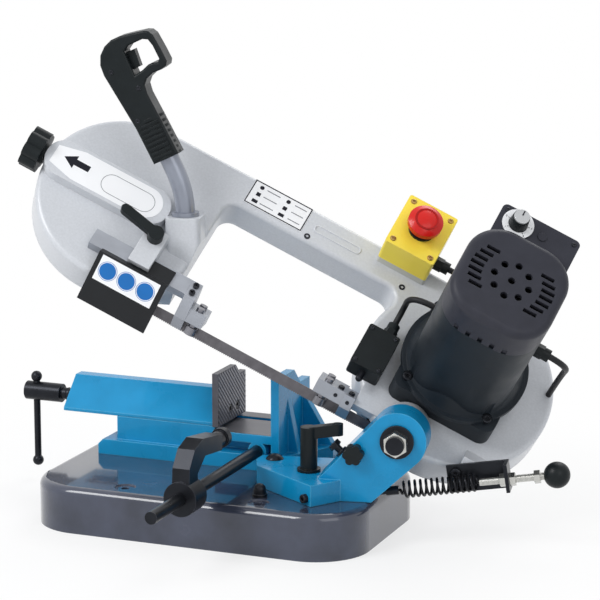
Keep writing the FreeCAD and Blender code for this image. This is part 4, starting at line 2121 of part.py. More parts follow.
def counter_spring():
    """A wound wire on the spring's line: straight ends in anchor and adjuster, coils between."""
    radius, wire, turns = SIZES["spring_radius"], SIZES["spring_wire_radius"], int(SIZES["spring_turns"])
    end_run, seat = SIZES["spring_end_run"], SIZES["spring_seat"] - SIZES["running_gap"]
    total = number(bracket_x(s.adjuster_left_u))
    coil = total - 2 * end_run
    steps = 2
    spots = [(Vector(0, 0, 0), X_AXIS)]
    for i in range(turns * steps + 1):
        turn = 2 * math.pi * i / steps
        way = Vector(coil / turns, -2 * math.pi * radius * math.sin(turn),
                     2 * math.pi * radius * math.cos(turn))
        spots.append((Vector(end_run + coil * i / (turns * steps), radius * math.cos(turn),
                             radius * math.sin(turn)),
                      way.normalize()))
    spots.append((Vector(total, 0, 0), X_AXIS))
    edges = [Part.LineSegment(Vector(-seat, 0, 0), Vector(0, 0, 0)).toShape()]
    for (start, way), (end, end_way) in zip(spots, spots[1:]):
        edges += two_arcs(start, way, end, end_way)
    edges.append(Part.LineSegment(Vector(total, 0, 0), Vector(total + seat, 0, 0)).toShape())
    path = Part.Wire(edges)
    gap = least_gap(path, radius, wire)
    print(f"counter_spring least gap to itself {gap:.2f} mm")
    if gap < SIZES["least_wire_gap"]:
        raise RuntimeError("the spring's turns touch")
    section = Part.Wire([Part.Circle(Vector(-seat, 0, 0), X_AXIS, wire).toShape()])
    node("counter_spring", made(swept(path, section, wire, path.Length)), ARM * SPRING_LINE)


PIECES = (
    base_tray, vise_bed, bed_bolts, mitre_stop, swivel_bolt, stop_rod, movable_jaw, jaw_plate, vise_screw,
    tommy_bar, stop_arm, stop_tip, swivel_arm, pivot_bush, down_stop_bolt, spring_anchor, mitre_lever,
    star_knob,
    bow_frame, rear_cover, saw_blade, right_guide_block, right_guide_bearings, handle_tube, handle_grip,
    trigger,
    gearbox_housing, motor_housing, motor_end_cap, motor_stator, shaft_bearings, control_box, speed_knob,
    estop_base, estop_lid, estop_button, cable_glands, control_leads, limit_switch, switch_plunger,
    pivot_shaft,
    pivot_washer, pivot_nut, spring_bracket, spring_adjuster, adjuster_nuts, adjuster_knob, counter_spring,
    tension_slide, tension_knob, idler_wheel, drive_wheel, drive_shaft, gear_cluster, armature, guide_bar,
    left_guide_block, left_guide_bearings, guard_plate, guide_lever,
)

for make in PIECES:
    make()
doc.recompute()

os.makedirs("parts", exist_ok=True)
for item in doc.Objects:
    if "Invalid" in item.State or "Error" in item.State:
        raise RuntimeError(f"{item.Label} ({item.TypeId}): {item.State} {item.getStatusString()}")
for item in NODES:
    if item.Shape.isNull() or not item.Shape.isValid():
        raise RuntimeError(f"{item.Label} is not a valid shape")
    item.Shape.exportStep(f"parts/{item.Label}.step")
    print(item.Label, len(item.Shape.Solids))
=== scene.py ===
"""Finishes and small parts of a portable band saw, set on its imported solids."""

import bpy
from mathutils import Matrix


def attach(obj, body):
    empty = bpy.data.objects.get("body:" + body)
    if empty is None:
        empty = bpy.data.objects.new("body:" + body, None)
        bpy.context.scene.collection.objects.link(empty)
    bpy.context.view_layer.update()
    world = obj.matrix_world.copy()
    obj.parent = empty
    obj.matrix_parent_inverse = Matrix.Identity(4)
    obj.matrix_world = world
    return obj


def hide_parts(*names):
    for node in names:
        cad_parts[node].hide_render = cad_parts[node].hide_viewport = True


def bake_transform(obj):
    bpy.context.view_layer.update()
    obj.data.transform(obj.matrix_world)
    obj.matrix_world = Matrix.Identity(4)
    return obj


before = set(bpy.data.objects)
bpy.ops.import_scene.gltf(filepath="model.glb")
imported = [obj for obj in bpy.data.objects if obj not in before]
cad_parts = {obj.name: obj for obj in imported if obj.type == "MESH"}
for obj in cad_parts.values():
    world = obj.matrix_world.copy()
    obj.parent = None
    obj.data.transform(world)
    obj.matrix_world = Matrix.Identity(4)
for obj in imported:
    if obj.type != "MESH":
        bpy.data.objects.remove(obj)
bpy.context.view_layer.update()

import math

import bmesh
import bpy
from mathutils import Matrix, Vector

MM = 0.001
FULL_TURN = 2 * math.pi


def shifted(x, y, z):
    return Matrix.Translation((x, y, z))


def turned(degrees, axis):
    return Matrix.Rotation(math.radians(degrees), 4, axis)


def on_circle(reach, degrees, middle=(0.0, 0.0)):
    """A spot on a circle about a middle."""
    turn = math.radians(degrees)
    return middle[0] + reach * math.cos(turn), middle[1] + reach * math.sin(turn)


# The saw's own frames, in millimetres

SWIVEL_SPOT = (62.0, -5.0, 0.0)
MITRE_ANGLE = 12.0
PIVOT_SPOT = (147.7, 0.0, 121.7)
TILT_ANGLE = 26.9
BLADE_DROP = 22.5
BOW_ANGLE = 45.0
SPRING_SPOT = (147.0, -48.0, 61.0)
SPRING_ANGLE = -8.4
GRIP_SPOT = (-374.0, 42.0, 130.0)
GRIP_ANGLE = -142.0
QUARTER = 90.0
WHOLE_ROUND = 4 * QUARTER

FACING_RIGHT = turned(QUARTER, "Y")
FACING_FRONT = turned(QUARTER, "X")
FACING_BACK = turned(-QUARTER, "X")
BENCH = Matrix.Identity(4)
ARM = shifted(*SWIVEL_SPOT) @ turned(MITRE_ANGLE, "Z")
HEAD = ARM @ shifted(*PIVOT_SPOT) @ turned(TILT_ANGLE, "Y")
BOW = HEAD @ shifted(0, 0, -BLADE_DROP) @ turned(BOW_ANGLE, "X")
SPRING_LINE = ARM @ shifted(*SPRING_SPOT) @ turned(SPRING_ANGLE, "Y")
GRIP = HEAD @ shifted(*GRIP_SPOT) @ turned(GRIP_ANGLE, "Y") @ FACING_BACK

BOW_FRONT = 27.0
BOW_REAR = -16.0
HOUSE_FRONT = 41.0
WHEEL_W = 93.725
DRIVE_X = 25.0
IDLER_X = -398.05


# Materials

NOISE_LOW, NOISE_HIGH = 0.3, 0.7
GLOSS_SHARES = (0.85, 1.15)
COAT_ROUGHNESS = 0.06
CLOUD_DETAIL, PORE_DETAIL = 6.0, 3.0
# How far the painted edge highlight, a lighter colour along softened edges, reaches by the edge's roundness
FLAT_EDGE, ROUND_EDGE, STRONGEST_EDGE_HIGHLIGHT = 0.995, 0.9, 0.8
BEVEL_SAMPLES = 4
MIX_FIRST, MIX_SECOND, MIX_RESULT = 6, 7, 2
CHART_TOP, CURVE_FOOT, CURVE_POWER = 255, 0.055, 2.4
PLAIN_MOTTLE, PLAIN_GRAIN = (30.0, 0.06), (900.0, 0.00004)


def add_node(tree, kind, inputs=(), **settings):
    """A node with its settings, its inputs set by name or linked from another node's socket."""
    made = tree.nodes.new(kind)
    for key, value in settings.items():
        setattr(made, key, value)
    for name, value in dict(inputs).items():
        if isinstance(value, bpy.types.NodeSocket):
            tree.links.new(value, made.inputs[name])
        else:
            made.inputs[name].default_value = value
    return made


def linear(*chart):
    """A colour as a painter's chart gives it, from 0 to 255, in the renderer's linear values."""
    shares = (c / CHART_TOP for c in chart)
    return tuple(((share + CURVE_FOOT) / (1 + CURVE_FOOT)) ** CURVE_POWER for share in shares) + (1.0,)


def shaded(colour, share):
    return tuple(min(c * (1 + share), 1.0) for c in colour[:3]) + (1.0,)


def spread(tree, value, low, high):
    """A noise value between its usual ends, as a number from low to high."""
    ends = {"Value": value, "From Min": NOISE_LOW, "From Max": NOISE_HIGH, "To Min": low, "To Max": high}
    return add_node(tree, "ShaderNodeMapRange", ends).outputs["Result"]


def blended(tree, share, first, second):
    """One colour laid over another by a share."""
    inputs = {"Factor": share, MIX_FIRST: first, MIX_SECOND: second}
    return add_node(tree, "ShaderNodeMix", inputs, data_type="RGBA").outputs[MIX_RESULT]


def edge_highlight_share(tree, soft):
    """How strongly an edge takes its painted highlight, from how far its softened facing turns away from
    the face.
    """
    plain = add_node(tree, "ShaderNodeNewGeometry").outputs["Normal"]
    facing = add_node(tree, "ShaderNodeVectorMath", {0: soft, 1: plain}, operation="DOT_PRODUCT")
    ends = {"Value": facing.outputs["Value"], "From Min": FLAT_EDGE, "From Max": ROUND_EDGE, "To Min": 0.0,
            "To Max": STRONGEST_EDGE_HIGHLIGHT}
    return add_node(tree, "ShaderNodeMapRange", ends).outputs["Result"]


def finish(name, colour, roughness, metallic=0.0, coat=0.0, mottle=PLAIN_MOTTLE, grain=PLAIN_GRAIN,
           stretch=(1.0, 1.0, 1.0), edge=0.0, edge_highlight_colour=None, shine=0.5):
    """A surface with uneven colour and gloss, a fine grain and softened edges that may carry a painted
    highlight in a lighter colour.
    """
    made = bpy.data.materials.new(name)
    made.use_nodes = True
    tree = made.node_tree
    shader = tree.nodes["Principled BSDF"]
    shader.inputs["Metallic"].default_value = metallic
    shader.inputs["Specular IOR Level"].default_value = shine
    shader.inputs["Coat Weight"].default_value = coat
    shader.inputs["Coat Roughness"].default_value = COAT_ROUGHNESS
    spot = add_node(tree, "ShaderNodeTexCoord").outputs["Object"]
    spot = add_node(tree, "ShaderNodeMapping", {"Vector": spot, "Scale": stretch}).outputs["Vector"]
    scale, share = mottle
    cloud = add_node(tree, "ShaderNodeTexNoise", {"Vector": spot, "Scale": scale, "Detail": CLOUD_DETAIL})
    cloud = cloud.outputs["Fac"]
    paint = blended(tree, spread(tree, cloud, 0, 1), shaded(colour, -share), shaded(colour, share))
    grain_scale, depth = grain
    pores = add_node(tree, "ShaderNodeTexNoise",
                     {"Vector": spot, "Scale": grain_scale, "Detail": PORE_DETAIL})
    bump = add_node(tree, "ShaderNodeBump",
                    {"Height": pores.outputs["Fac"], "Distance": depth, "Strength": 1.0})
    if edge:
        soft = add_node(tree, "ShaderNodeBevel", {"Radius": edge}, samples=BEVEL_SAMPLES).outputs["Normal"]
        tree.links.new(soft, bump.inputs["Normal"])
        # A lighter colour along the softened edges: a painted highlight
        if edge_highlight_colour:
            paint = blended(tree, edge_highlight_share(tree, soft), paint, edge_highlight_colour)
    gloss = spread(tree, cloud, *(roughness * end for end in GLOSS_SHARES))
    tree.links.new(paint, shader.inputs["Base Color"])
    tree.links.new(gloss, shader.inputs["Roughness"])
    tree.links.new(bump.outputs["Normal"], shader.inputs["Normal"])
    return made


SOFT_EDGE, CAST_EDGE, FINE_EDGE = 0.0012, 0.0018, 0.0006
DULL, SATIN = 0.16, 0.25
ENAMEL_GRAIN, GLOSS_GRAIN, SILVER_GRAIN = (320.0, 0.00005), (420.0, 0.0001), (420.0, 0.00006)
CAST_GRAIN, MOULD_GRAIN, BLACK_GRAIN = (700.0, 0.00008), (1100.0, 0.00007), (1300.0, 0.00006)
STEEL_GRAIN, ALLOY_GRAIN, SHEATH_GRAIN = (900.0, 0.00005), (800.0, 0.00005), (1500.0, 0.00004)
# The lighter edge colours given in these finishes are painted highlights along the parts' edges
SLATE_ENAMEL = finish("slate enamel", linear(58, 63, 79), 0.24, coat=1.0, mottle=(26.0, 0.24),
                      grain=ENAMEL_GRAIN, edge=CAST_EDGE, edge_highlight_colour=linear(104, 110, 126), shine=DULL)
BLUE_PAINT = finish("blue gloss paint", linear(10, 138, 190), 0.3, coat=0.3, mottle=(34.0, 0.07),
                    grain=GLOSS_GRAIN, edge=CAST_EDGE, edge_highlight_colour=linear(92, 184, 222), shine=DULL)
SILVER_PAINT = finish("silver grey paint", linear(197, 200, 205), 0.36, coat=0.25, mottle=(420.0, 0.05),
                      grain=SILVER_GRAIN, edge=CAST_EDGE, edge_highlight_colour=linear(218, 220, 224))
SILVER_TUBE = finish("silver tube paint", linear(138, 143, 155), 0.32, metallic=0.4, coat=0.2)
CHARCOAL_CAST = finish("charcoal casting paint", linear(31, 37, 43), 0.42, mottle=(40.0, 0.12),
                       grain=CAST_GRAIN, edge=SOFT_EDGE, shine=DULL)
CHARCOAL_PLASTIC = finish("charcoal moulded plastic", linear(51, 52, 60), 0.42, mottle=(60.0, 0.08),
                          grain=MOULD_GRAIN, edge=SOFT_EDGE, shine=DULL)
BLACK_PLASTIC = finish("black moulded plastic", linear(25, 30, 32), 0.36, mottle=(70.0, 0.1),
                       grain=BLACK_GRAIN, edge=SOFT_EDGE, shine=DULL)
BLACK_OXIDE = finish("black oiled steel", linear(34, 36, 41), 0.32, metallic=0.6, mottle=(55.0, 0.18),
                     edge=FINE_EDGE, edge_highlight_colour=linear(86, 88, 95), shine=SATIN)
BLACK_SHEET = finish("black sheet paint", linear(27, 29, 32), 0.38, edge=FINE_EDGE, shine=SATIN)
GROUND_STEEL = finish("ground steel", linear(132, 132, 138), 0.34, metallic=0.85, mottle=(45.0, 0.12),
                      grain=STEEL_GRAIN, stretch=(1.0, 1.0, 0.06), edge=FINE_EDGE)
TABLE_STEEL = finish("planed table steel", linear(100, 100, 105), 0.4, metallic=0.75, mottle=(60.0, 0.16),
                     grain=STEEL_GRAIN, stretch=(0.06, 1.0, 1.0))
JAW_STEEL = finish("hardened jaw steel", linear(90, 90, 96), 0.4, metallic=0.7, mottle=(60.0, 0.16),
                   edge=FINE_EDGE, edge_highlight_colour=linear(140, 140, 146), shine=SATIN)
# A lighter copy of the jaw's steel for its ridges: a painted highlight on the ridges
RIDGE_HIGHLIGHT_STEEL = finish("jaw ridge steel with painted highlight", linear(126, 126, 132), 0.4, metallic=0.7, mottle=(60.0, 0.12),
                     shine=SATIN)
BRIGHT_ZINC = finish("bright zinc plate", linear(196, 196, 192), 0.24, metallic=0.95, mottle=(90.0, 0.07),
                     edge=FINE_EDGE)
MACHINED_ALLOY = finish("machined alloy", linear(160, 164, 172), 0.36, metallic=0.6, mottle=(60.0, 0.08),
                        grain=ALLOY_GRAIN, stretch=(0.08, 1.0, 1.0), edge=FINE_EDGE)
BLADE_STEEL = finish("band steel", linear(104, 102, 106), 0.36, metallic=0.75, mottle=(120.0, 0.15))
BRONZE = finish("bearing bronze", linear(164, 132, 78), 0.35, metallic=0.9)
SILVER_PLASTIC = finish("silver knob plastic", linear(186, 188, 190), 0.28, metallic=0.5, edge=FINE_EDGE)
PALE_PLASTIC = finish("pale grey plastic", linear(196, 196, 188), 0.4, edge=FINE_EDGE)
YELLOW_PLASTIC = finish("yellow plastic", linear(254, 228, 78), 0.34, coat=0.2, mottle=(30.0, 0.04),
                        edge=SOFT_EDGE, edge_highlight_colour=linear(254, 232, 118), shine=SATIN)
RED_PLASTIC = finish("red plastic", linear(208, 26, 20), 0.32, coat=0.15, mottle=(30.0, 0.05),
                     edge=FINE_EDGE, shine=SATIN)
DEEP_RED = finish("deep red plastic", linear(168, 20, 18), 0.36, shine=SATIN)
CABLE_RUBBER = finish("black cable sheath", linear(26, 27, 30), 0.5, grain=SHEATH_GRAIN, shine=SATIN)
SPRING_BLACK = finish("black spring wire", linear(32, 33, 37), 0.3, metallic=0.7, mottle=(140.0, 0.15))
WHITE_FILM = finish("white plate film", linear(238, 239, 241), 0.35, coat=0.2, mottle=(25.0, 0.015))
INK_BLACK = finish("black ink", linear(24, 25, 34), 0.45, shine=DULL)
INK_GREY = finish("grey ink", linear(110, 112, 118), 0.45)
INK_BLUE = finish("blue ink", linear(14, 104, 178), 0.4, coat=0.2, shine=SATIN)

NODE_FINISHES = (
    (SLATE_ENAMEL, ["base_tray"]),
    (BLUE_PAINT, ["vise_bed", "movable_jaw", "swivel_arm"]),
    (SILVER_PAINT, ["bow_frame", "rear_cover"]),
    (SILVER_TUBE, ["handle_tube"]),
    (CHARCOAL_CAST, ["gearbox_housing", "motor_housing"]),
    (CHARCOAL_PLASTIC, ["motor_end_cap", "control_box"]),
    (BLACK_PLASTIC, ["mitre_lever", "star_knob", "handle_grip", "trigger", "tension_knob", "guide_lever",
                     "adjuster_knob", "cable_glands", "limit_switch"]),
    (BLACK_OXIDE, ["vise_screw", "tommy_bar", "stop_rod", "stop_arm", "stop_tip", "mitre_stop",
                   "swivel_bolt", "pivot_washer", "pivot_shaft", "spring_anchor", "spring_bracket",
                   "switch_plunger", "down_stop_bolt"]),
    (BLACK_SHEET, ["guard_plate"]),
    (JAW_STEEL, ["jaw_plate"]),
    (GROUND_STEEL, ["drive_wheel", "idler_wheel", "drive_shaft", "gear_cluster", "armature", "motor_stator",
                    "shaft_bearings", "right_guide_bearings", "left_guide_bearings", "tension_slide"]),
    (BRIGHT_ZINC, ["bed_bolts", "pivot_nut", "spring_adjuster", "adjuster_nuts"]),
    (MACHINED_ALLOY, ["guide_bar", "left_guide_block", "right_guide_block"]),
    (BRONZE, ["pivot_bush"]),
    (SILVER_PLASTIC, ["speed_knob"]),
    (PALE_PLASTIC, ["estop_base"]),
    (YELLOW_PLASTIC, ["estop_lid"]),
    (RED_PLASTIC, ["estop_button"]),
)


def dress_nodes():
    for material, names in NODE_FINISHES:
        for name in names:
            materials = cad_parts[name].data.materials
            materials.clear()
            materials.append(material)


# Shapes, drawn in millimetres

CORNER_STEPS = 7
DISC_STEPS = 48


def box_outline(width, height, corner=0.0):
    """A rectangle about the origin with round corners, anticlockwise."""
    points = []
    count = CORNER_STEPS if corner else 1
    for quarter, (side_x, side_y) in enumerate(((1, 1), (-1, 1), (-1, -1), (1, -1))):
        middle = (side_x * (width / 2 - corner), side_y * (height / 2 - corner))
        for i in range(count):
            points.append(on_circle(corner, QUARTER * (quarter + i / max(count - 1, 1)), middle))
    return points


def disc_outline(radius):
    return [on_circle(radius, i * WHOLE_ROUND / DISC_STEPS) for i in range(DISC_STEPS)]


def slab(outline, low, high, at=(0.0, 0.0), turn=0.0):
    """A flat piece between two heights, turned about its middle and set on a spot."""
    shape = bmesh.new()
    floor = shape.faces.new([shape.verts.new((x, y, low)) for x, y in outline])
    walls = bmesh.ops.extrude_face_region(shape, geom=[floor])["geom"]
    top = [g for g in walls if isinstance(g, bmesh.types.BMVert)]
    bmesh.ops.translate(shape, vec=(0, 0, high - low), verts=top)
    bmesh.ops.transform(shape, matrix=shifted(*at, 0) @ turned(turn, "Z"), verts=shape.verts)
    bmesh.ops.recalc_face_normals(shape, faces=shape.faces)
    return shape


def joined_rings(rings, closed):
    """A skin over rings of points, each with the same count; open rows of rings are capped by a fan."""
    shape = bmesh.new()
    rows = [[shape.verts.new(spot) for spot in ring] for ring in rings]
    count = len(rows[0])
    for row, after in zip(rows, rows[1:] + (rows[:1] if closed else [])):
        for i in range(count):
            following = (i + 1) % count
            shape.faces.new((row[i], row[following], after[following], after[i]))
    for row in () if closed else (rows[0], rows[-1]):
        hub = shape.verts.new(sum((v.co for v in row), Vector()) / count)
        for i in range(count):
            shape.faces.new((row[i], row[(i + 1) % count], hub))
    bmesh.ops.recalc_face_normals(shape, faces=shape.faces)
    return shape


def rim(outer, inner, low, high, at=(0.0, 0.0)):
    """A flat rim between two outlines of the same number of points."""
    lines = ((outer, low), (outer, high), (inner, high), (inner, low))
    return joined_rings([[(x + at[0], y + at[1], z) for x, y in line] for line, z in lines], True)


def recessed_head(profile, reach, floor):
    """A screw head turned from a profile of radius and height, its recess reaching as the turn gives."""
    turns = [i * WHOLE_ROUND / DISC_STEPS for i in range(DISC_STEPS)]
    top = profile[-1][1]
    rings = [[(*on_circle(radius, turn), height) for turn in turns] for radius, height in profile]
    rings += [[(*on_circle(reach(turn), turn), height) for turn in turns] for height in (top, floor)]
    return joined_rings(rings, False)


def plain_mesh(name, layers):
    """One mesh from several shapes, each with its material."""
    whole = bmesh.new()
    mesh = bpy.data.meshes.new(name)
    for index, (shape, material) in enumerate(layers):
        part = bpy.data.meshes.new(name)
        for face in shape.faces:
            face.material_index = index
        shape.to_mesh(part)
        shape.free()
        whole.from_mesh(part)
        bpy.data.meshes.remove(part)
        mesh.materials.append(material)
    whole.to_mesh(mesh)
    whole.free()
    return mesh


def shown(name, data):
    obj = bpy.data.objects.new(name, data)
    bpy.context.scene.collection.objects.link(obj)
    return obj


def in_place(name, mesh, place):
    """An object at the origin whose mesh is set from a frame in millimetres into the saw, in metres."""
    mesh.transform(Matrix.Scale(MM, 4) @ place)
    return shown(name, mesh)


def carried(obj, body):
    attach(obj, body)
    return obj


def piece(name, layers, place, body):
    return carried(in_place(name, plain_mesh(name, layers), place), body)


def highest(node, place):
    """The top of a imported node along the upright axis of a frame, in millimetres."""
    back = place.inverted() @ Matrix.Scale(1 / MM, 4)
    return max((back @ v.co).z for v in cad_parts[node].data.vertices)


# Node trees that repeat a shape on spots, wind a thread and sweep a wire

CHANCE_SEED = 7
THREAD_STEPS, THREAD_SIDES, WIRE_SIDES = 20, 4, 12


def new_tree(name, *inputs):
    """A tree with named inputs, their sockets, and a call that realizes, paints and ends it."""
    tree = bpy.data.node_groups.new(name, "GeometryNodeTree")
    for label, kind in (*inputs, ("Material", "Material")):
        tree.interface.new_socket(label, in_out="INPUT", socket_type="NodeSocket" + kind)
    tree.interface.new_socket("Geometry", in_out="OUTPUT", socket_type="NodeSocketGeometry")
    given = tree.nodes.new("NodeGroupInput").outputs
    result = tree.nodes.new("NodeGroupOutput").inputs["Geometry"]

    def ended(shape):
        real = add_node(tree, "GeometryNodeRealizeInstances", {"Geometry": shape}).outputs["Geometry"]
        inputs = {"Geometry": real, "Material": given["Material"]}
        tree.links.new(add_node(tree, "GeometryNodeSetMaterial", inputs).outputs["Geometry"], result)
        return tree

    return tree, given, ended


def repeat_tree():
    """Sets a piece on every spot, its height along the spot's facing, each turned a little by chance."""
    tree, given, ended = new_tree("pieces on spots", ("Spots", "Geometry"), ("Piece", "Object"),
                                  ("Turn", "Float"))
    model = add_node(tree, "GeometryNodeObjectInfo", {"Object": given["Piece"], "As Instance": True})
    facing = add_node(tree, "GeometryNodeInputNamedAttribute", {"Name": "facing"}, data_type="FLOAT_VECTOR")
    upright = add_node(tree, "FunctionNodeAlignRotationToVector", {"Vector": facing.outputs["Attribute"]},
                       axis="Z")
    chance = add_node(tree, "FunctionNodeRandomValue", {"Seed": CHANCE_SEED}, data_type="FLOAT")
    swing = add_node(tree, "ShaderNodeMath", {0: given["Turn"]}, operation="MULTIPLY")
    tree.links.new(next(o for o in chance.outputs if o.enabled), swing.inputs[1])
    spin = add_node(tree, "FunctionNodeAxisAngleToRotation",
                    {"Axis": (0, 0, 1), "Angle": swing.outputs["Value"]})
    stance = add_node(tree, "FunctionNodeRotateRotation",
                      {"Rotation": upright.outputs["Rotation"], "Rotate By": spin.outputs["Rotation"]},
                      rotation_space="LOCAL")
    set_out = add_node(tree, "GeometryNodeInstanceOnPoints",
                       {"Points": given["Spots"], "Instance": model.outputs["Geometry"],
                        "Rotation": stance.outputs["Rotation"]})
    return ended(set_out.outputs["Instances"])


def thread_tree():
    """Winds a thread's ridge about the upright axis."""
    tree, given, ended = new_tree("thread", ("Length", "Float"), ("Turns", "Float"), ("Radius", "Float"),
                                  ("Ridge", "Float"))
    helix = add_node(tree, "GeometryNodeCurveSpiral",
                     {"Resolution": THREAD_STEPS, "Rotations": given["Turns"], "Height": given["Length"],
                      "Start Radius": given["Radius"], "End Radius": given["Radius"]})
    section = add_node(tree, "GeometryNodeCurvePrimitiveCircle",
                       {"Resolution": THREAD_SIDES, "Radius": given["Ridge"]})
    ridge = add_node(tree, "GeometryNodeCurveToMesh",
                     {"Curve": helix.outputs["Curve"], "Profile Curve": section.outputs["Curve"],
                      "Fill Caps": True})
    return ended(ridge.outputs["Mesh"])


def wire_tree():
    """Sweeps a round wire along a line of edges."""
    tree, given, ended = new_tree("wire on a path", ("Path", "Geometry"), ("Radius", "Float"))
    line = add_node(tree, "GeometryNodeMeshToCurve", {"Mesh": given["Path"]})
    section = add_node(tree, "GeometryNodeCurvePrimitiveCircle",
                       {"Resolution": WIRE_SIDES, "Radius": given["Radius"]})
    skin = add_node(tree, "GeometryNodeCurveToMesh",
                    {"Curve": line.outputs["Curve"], "Profile Curve": section.outputs["Curve"],
                     "Fill Caps": True})
    smooth = add_node(tree, "GeometryNodeSetShadeSmooth", {"Geometry": skin.outputs["Mesh"]})
    return ended(smooth.outputs["Geometry"])


REPEAT = repeat_tree()
THREAD = thread_tree()
WIRE = wire_tree()


def grown(name, start, tree, values):
    """The plain mesh that a node tree gives for its named inputs."""
    obj = shown(name, start)
    modifier = obj.modifiers.new(tree.name, "NODES")
    modifier.node_group = tree
    for item in tree.interface.items_tree:
        if item.in_out == "INPUT" and item.name in values:
            modifier[item.identifier] = values[item.name]
    seen = obj.evaluated_get(bpy.context.evaluated_depsgraph_get())
    mesh = bpy.data.meshes.new_from_object(seen)
    obj.modifiers.remove(modifier)
    bpy.data.objects.remove(obj)
    mesh.name = name
    return mesh


def on_spots(name, model, spots, facing, material, place, body, turn=FULL_TURN):
    """A model repeated on spots that all face one way, as one piece."""
    start = bpy.data.meshes.new(name + " spots")
    start.from_pydata([Vector(spot) for spot in spots], [], [])
    for item in start.attributes.new("facing", "FLOAT_VECTOR", "POINT").data:
        item.vector = facing
    pattern = shown(name + " model", plain_mesh(name + " model", [(model, material)]))
    mesh = grown(name, start, REPEAT, {"Piece": pattern, "Turn": turn, "Material": material})
    bpy.data.objects.remove(pattern)
    return carried(in_place(name, mesh, place), body)


def wound(name, length, pitch, radius, ridge, material, place, body, slot):
    """A screw thread along the upright axis of a frame."""
    values = {"Length": length, "Turns": length / pitch, "Radius": radius, "Ridge": ridge,
              "Material": material}
    mesh = grown(name, bpy.data.meshes.new(name + " start"), THREAD, values)
    return carried(in_place(name, mesh, place), body)


def bent_wire(name, path, radius, material, place, closed=False):
    """A round wire along points, set into a frame."""
    line = bpy.data.meshes.new(name + " path")
    last = len(path) if closed else len(path) - 1
    line.from_pydata(path, [(i, (i + 1) % len(path)) for i in range(last)], [])
    return in_place(name, grown(name, line, WIRE, {"Radius": radius, "Material": material}), place)


# Fasteners

TO_FRONT = (0, 0, 1)
TO_REAR = (0, 0, -1)
TO_RIGHT = (1, 0, 0)
TO_VIEWER = (0, -1, 0)
UPWARDS = (0, 0, 1)
CAP_SHARES = ((1.0, 0.0), (1.0, 0.85), (0.9, 1.0), (0.62, 1.0))
CAP_SOCKET_SHARE, CAP_FLOOR_SHARE = 0.5, 0.35
PAN_SHARES = ((1.0, 0.0), (1.0, 0.35), (0.86, 0.72), (0.62, 0.95))
PAN_CROSS_SHARE, PAN_FLOOR_SHARE = 0.52, 0.4
SIXTH, CROSS_ARM_ANGLE = 60.0, 15.0


def head_profile(shares, radius, height):
    return [(radius * across, height * up) for across, up in shares]


def cap_head(radius, height):
    """A cap screw's head with a six-sided socket."""
    corner = radius * CAP_SOCKET_SHARE
    flat = corner * math.cos(math.radians(SIXTH / 2))

    def reach(turn):
        return flat / math.cos(math.radians(turn % SIXTH - SIXTH / 2))

    return recessed_head(head_profile(CAP_SHARES, radius, height), reach, height * CAP_FLOOR_SHARE)


def pan_head(radius, height):
    """A domed screw head with a cross cut into it."""
    arm = radius * PAN_CROSS_SHARE
    half_width = arm * math.tan(math.radians(CROSS_ARM_ANGLE))

    def reach(turn):
        off = abs((turn + QUARTER / 2) % QUARTER - QUARTER / 2)
        bent = math.radians(off)
        return arm / math.cos(bent) if off <= CROSS_ARM_ANGLE else half_width / math.sin(bent)

    return recessed_head(head_profile(PAN_SHARES, radius, height), reach, height * PAN_FLOOR_SHARE)


HOUSE_W = 95.0
COVER_HOUSES = ((-394.0, 101.0, (75, 115, 150)), (25.0, 108.0, (80, 30, -20, -70)))
COVER_HEAD = (4.0, 2.2)
CASE_REACH, CASE_TOP, CASE_HEAD = 69.25, 65.0, (5.3, 4.0)
CASE_TURNS = (45, 135, 225, 315)
JAW_SCREW_SPOTS = ((-22.9, 56.0, 112.0), (-22.9, 76.0, 112.0))
JAW_HEAD = (5.3, 4.6)
LID_XS, LID_WS, LID_TOP, LID_HEAD = (-112.0, -65.0), (185.0, 241.0), 75.0, (3.4, 1.6)
SWITCH_XS, SWITCH_WS, SWITCH_TOP, SWITCH_HEAD = (-83.5, -54.5), (38.5, 83.5), 53.0, (2.6, 1.4)
CONTROL_XS, CONTROL_WS, CONTROL_TOP, CONTROL_HEAD = (-13.5, 65.5), (181.5,), 240.0, (2.8, 1.5)
BEAM_XS, BEAM_WS, BEAM_SEAT, BEAM_HEAD = (-200.0, -78.0), (163.0,), 25.4, (3.6, 2.4)


def crossed(xs, ws, height):
    return [(x, w, height) for x in xs for w in ws]


def cover_screws():
    spots = [(*on_circle(reach, turn, (x, HOUSE_W)), BOW_REAR) for x, reach, turns in COVER_HOUSES
             for turn in turns]
    on_spots("cover_screws", pan_head(*COVER_HEAD), spots, TO_REAR, BRIGHT_ZINC, BOW, "saw_head")


def case_screws():
    seat = CASE_TOP - CASE_HEAD[1]
    spots = [(*on_circle(CASE_REACH, turn, (DRIVE_X, WHEEL_W)), seat) for turn in CASE_TURNS]
    on_spots("case_screws", cap_head(*CASE_HEAD), spots, TO_FRONT, BLACK_OXIDE, BOW, "saw_head")


def jaw_plate_screws():
    on_spots("jaw_plate_screws", cap_head(*JAW_HEAD), JAW_SCREW_SPOTS, TO_RIGHT, BLACK_OXIDE, BENCH,
             "movable_jaw")


def stop_lid_screws():
    spots = crossed(LID_XS, LID_WS, LID_TOP)
    on_spots("stop_lid_screws", pan_head(*LID_HEAD), spots, TO_FRONT, BRONZE, BOW, "saw_head")


def switch_screws():
    spots = crossed(SWITCH_XS, SWITCH_WS, SWITCH_TOP)
    on_spots("switch_screws", pan_head(*SWITCH_HEAD), spots, TO_FRONT, BLACK_OXIDE, BOW, "saw_head")


def control_screws():
    spots = crossed(CONTROL_XS, CONTROL_WS, CONTROL_TOP)
    on_spots("control_screws", pan_head(*CONTROL_HEAD), spots, TO_FRONT, BLACK_OXIDE, BOW, "saw_head")


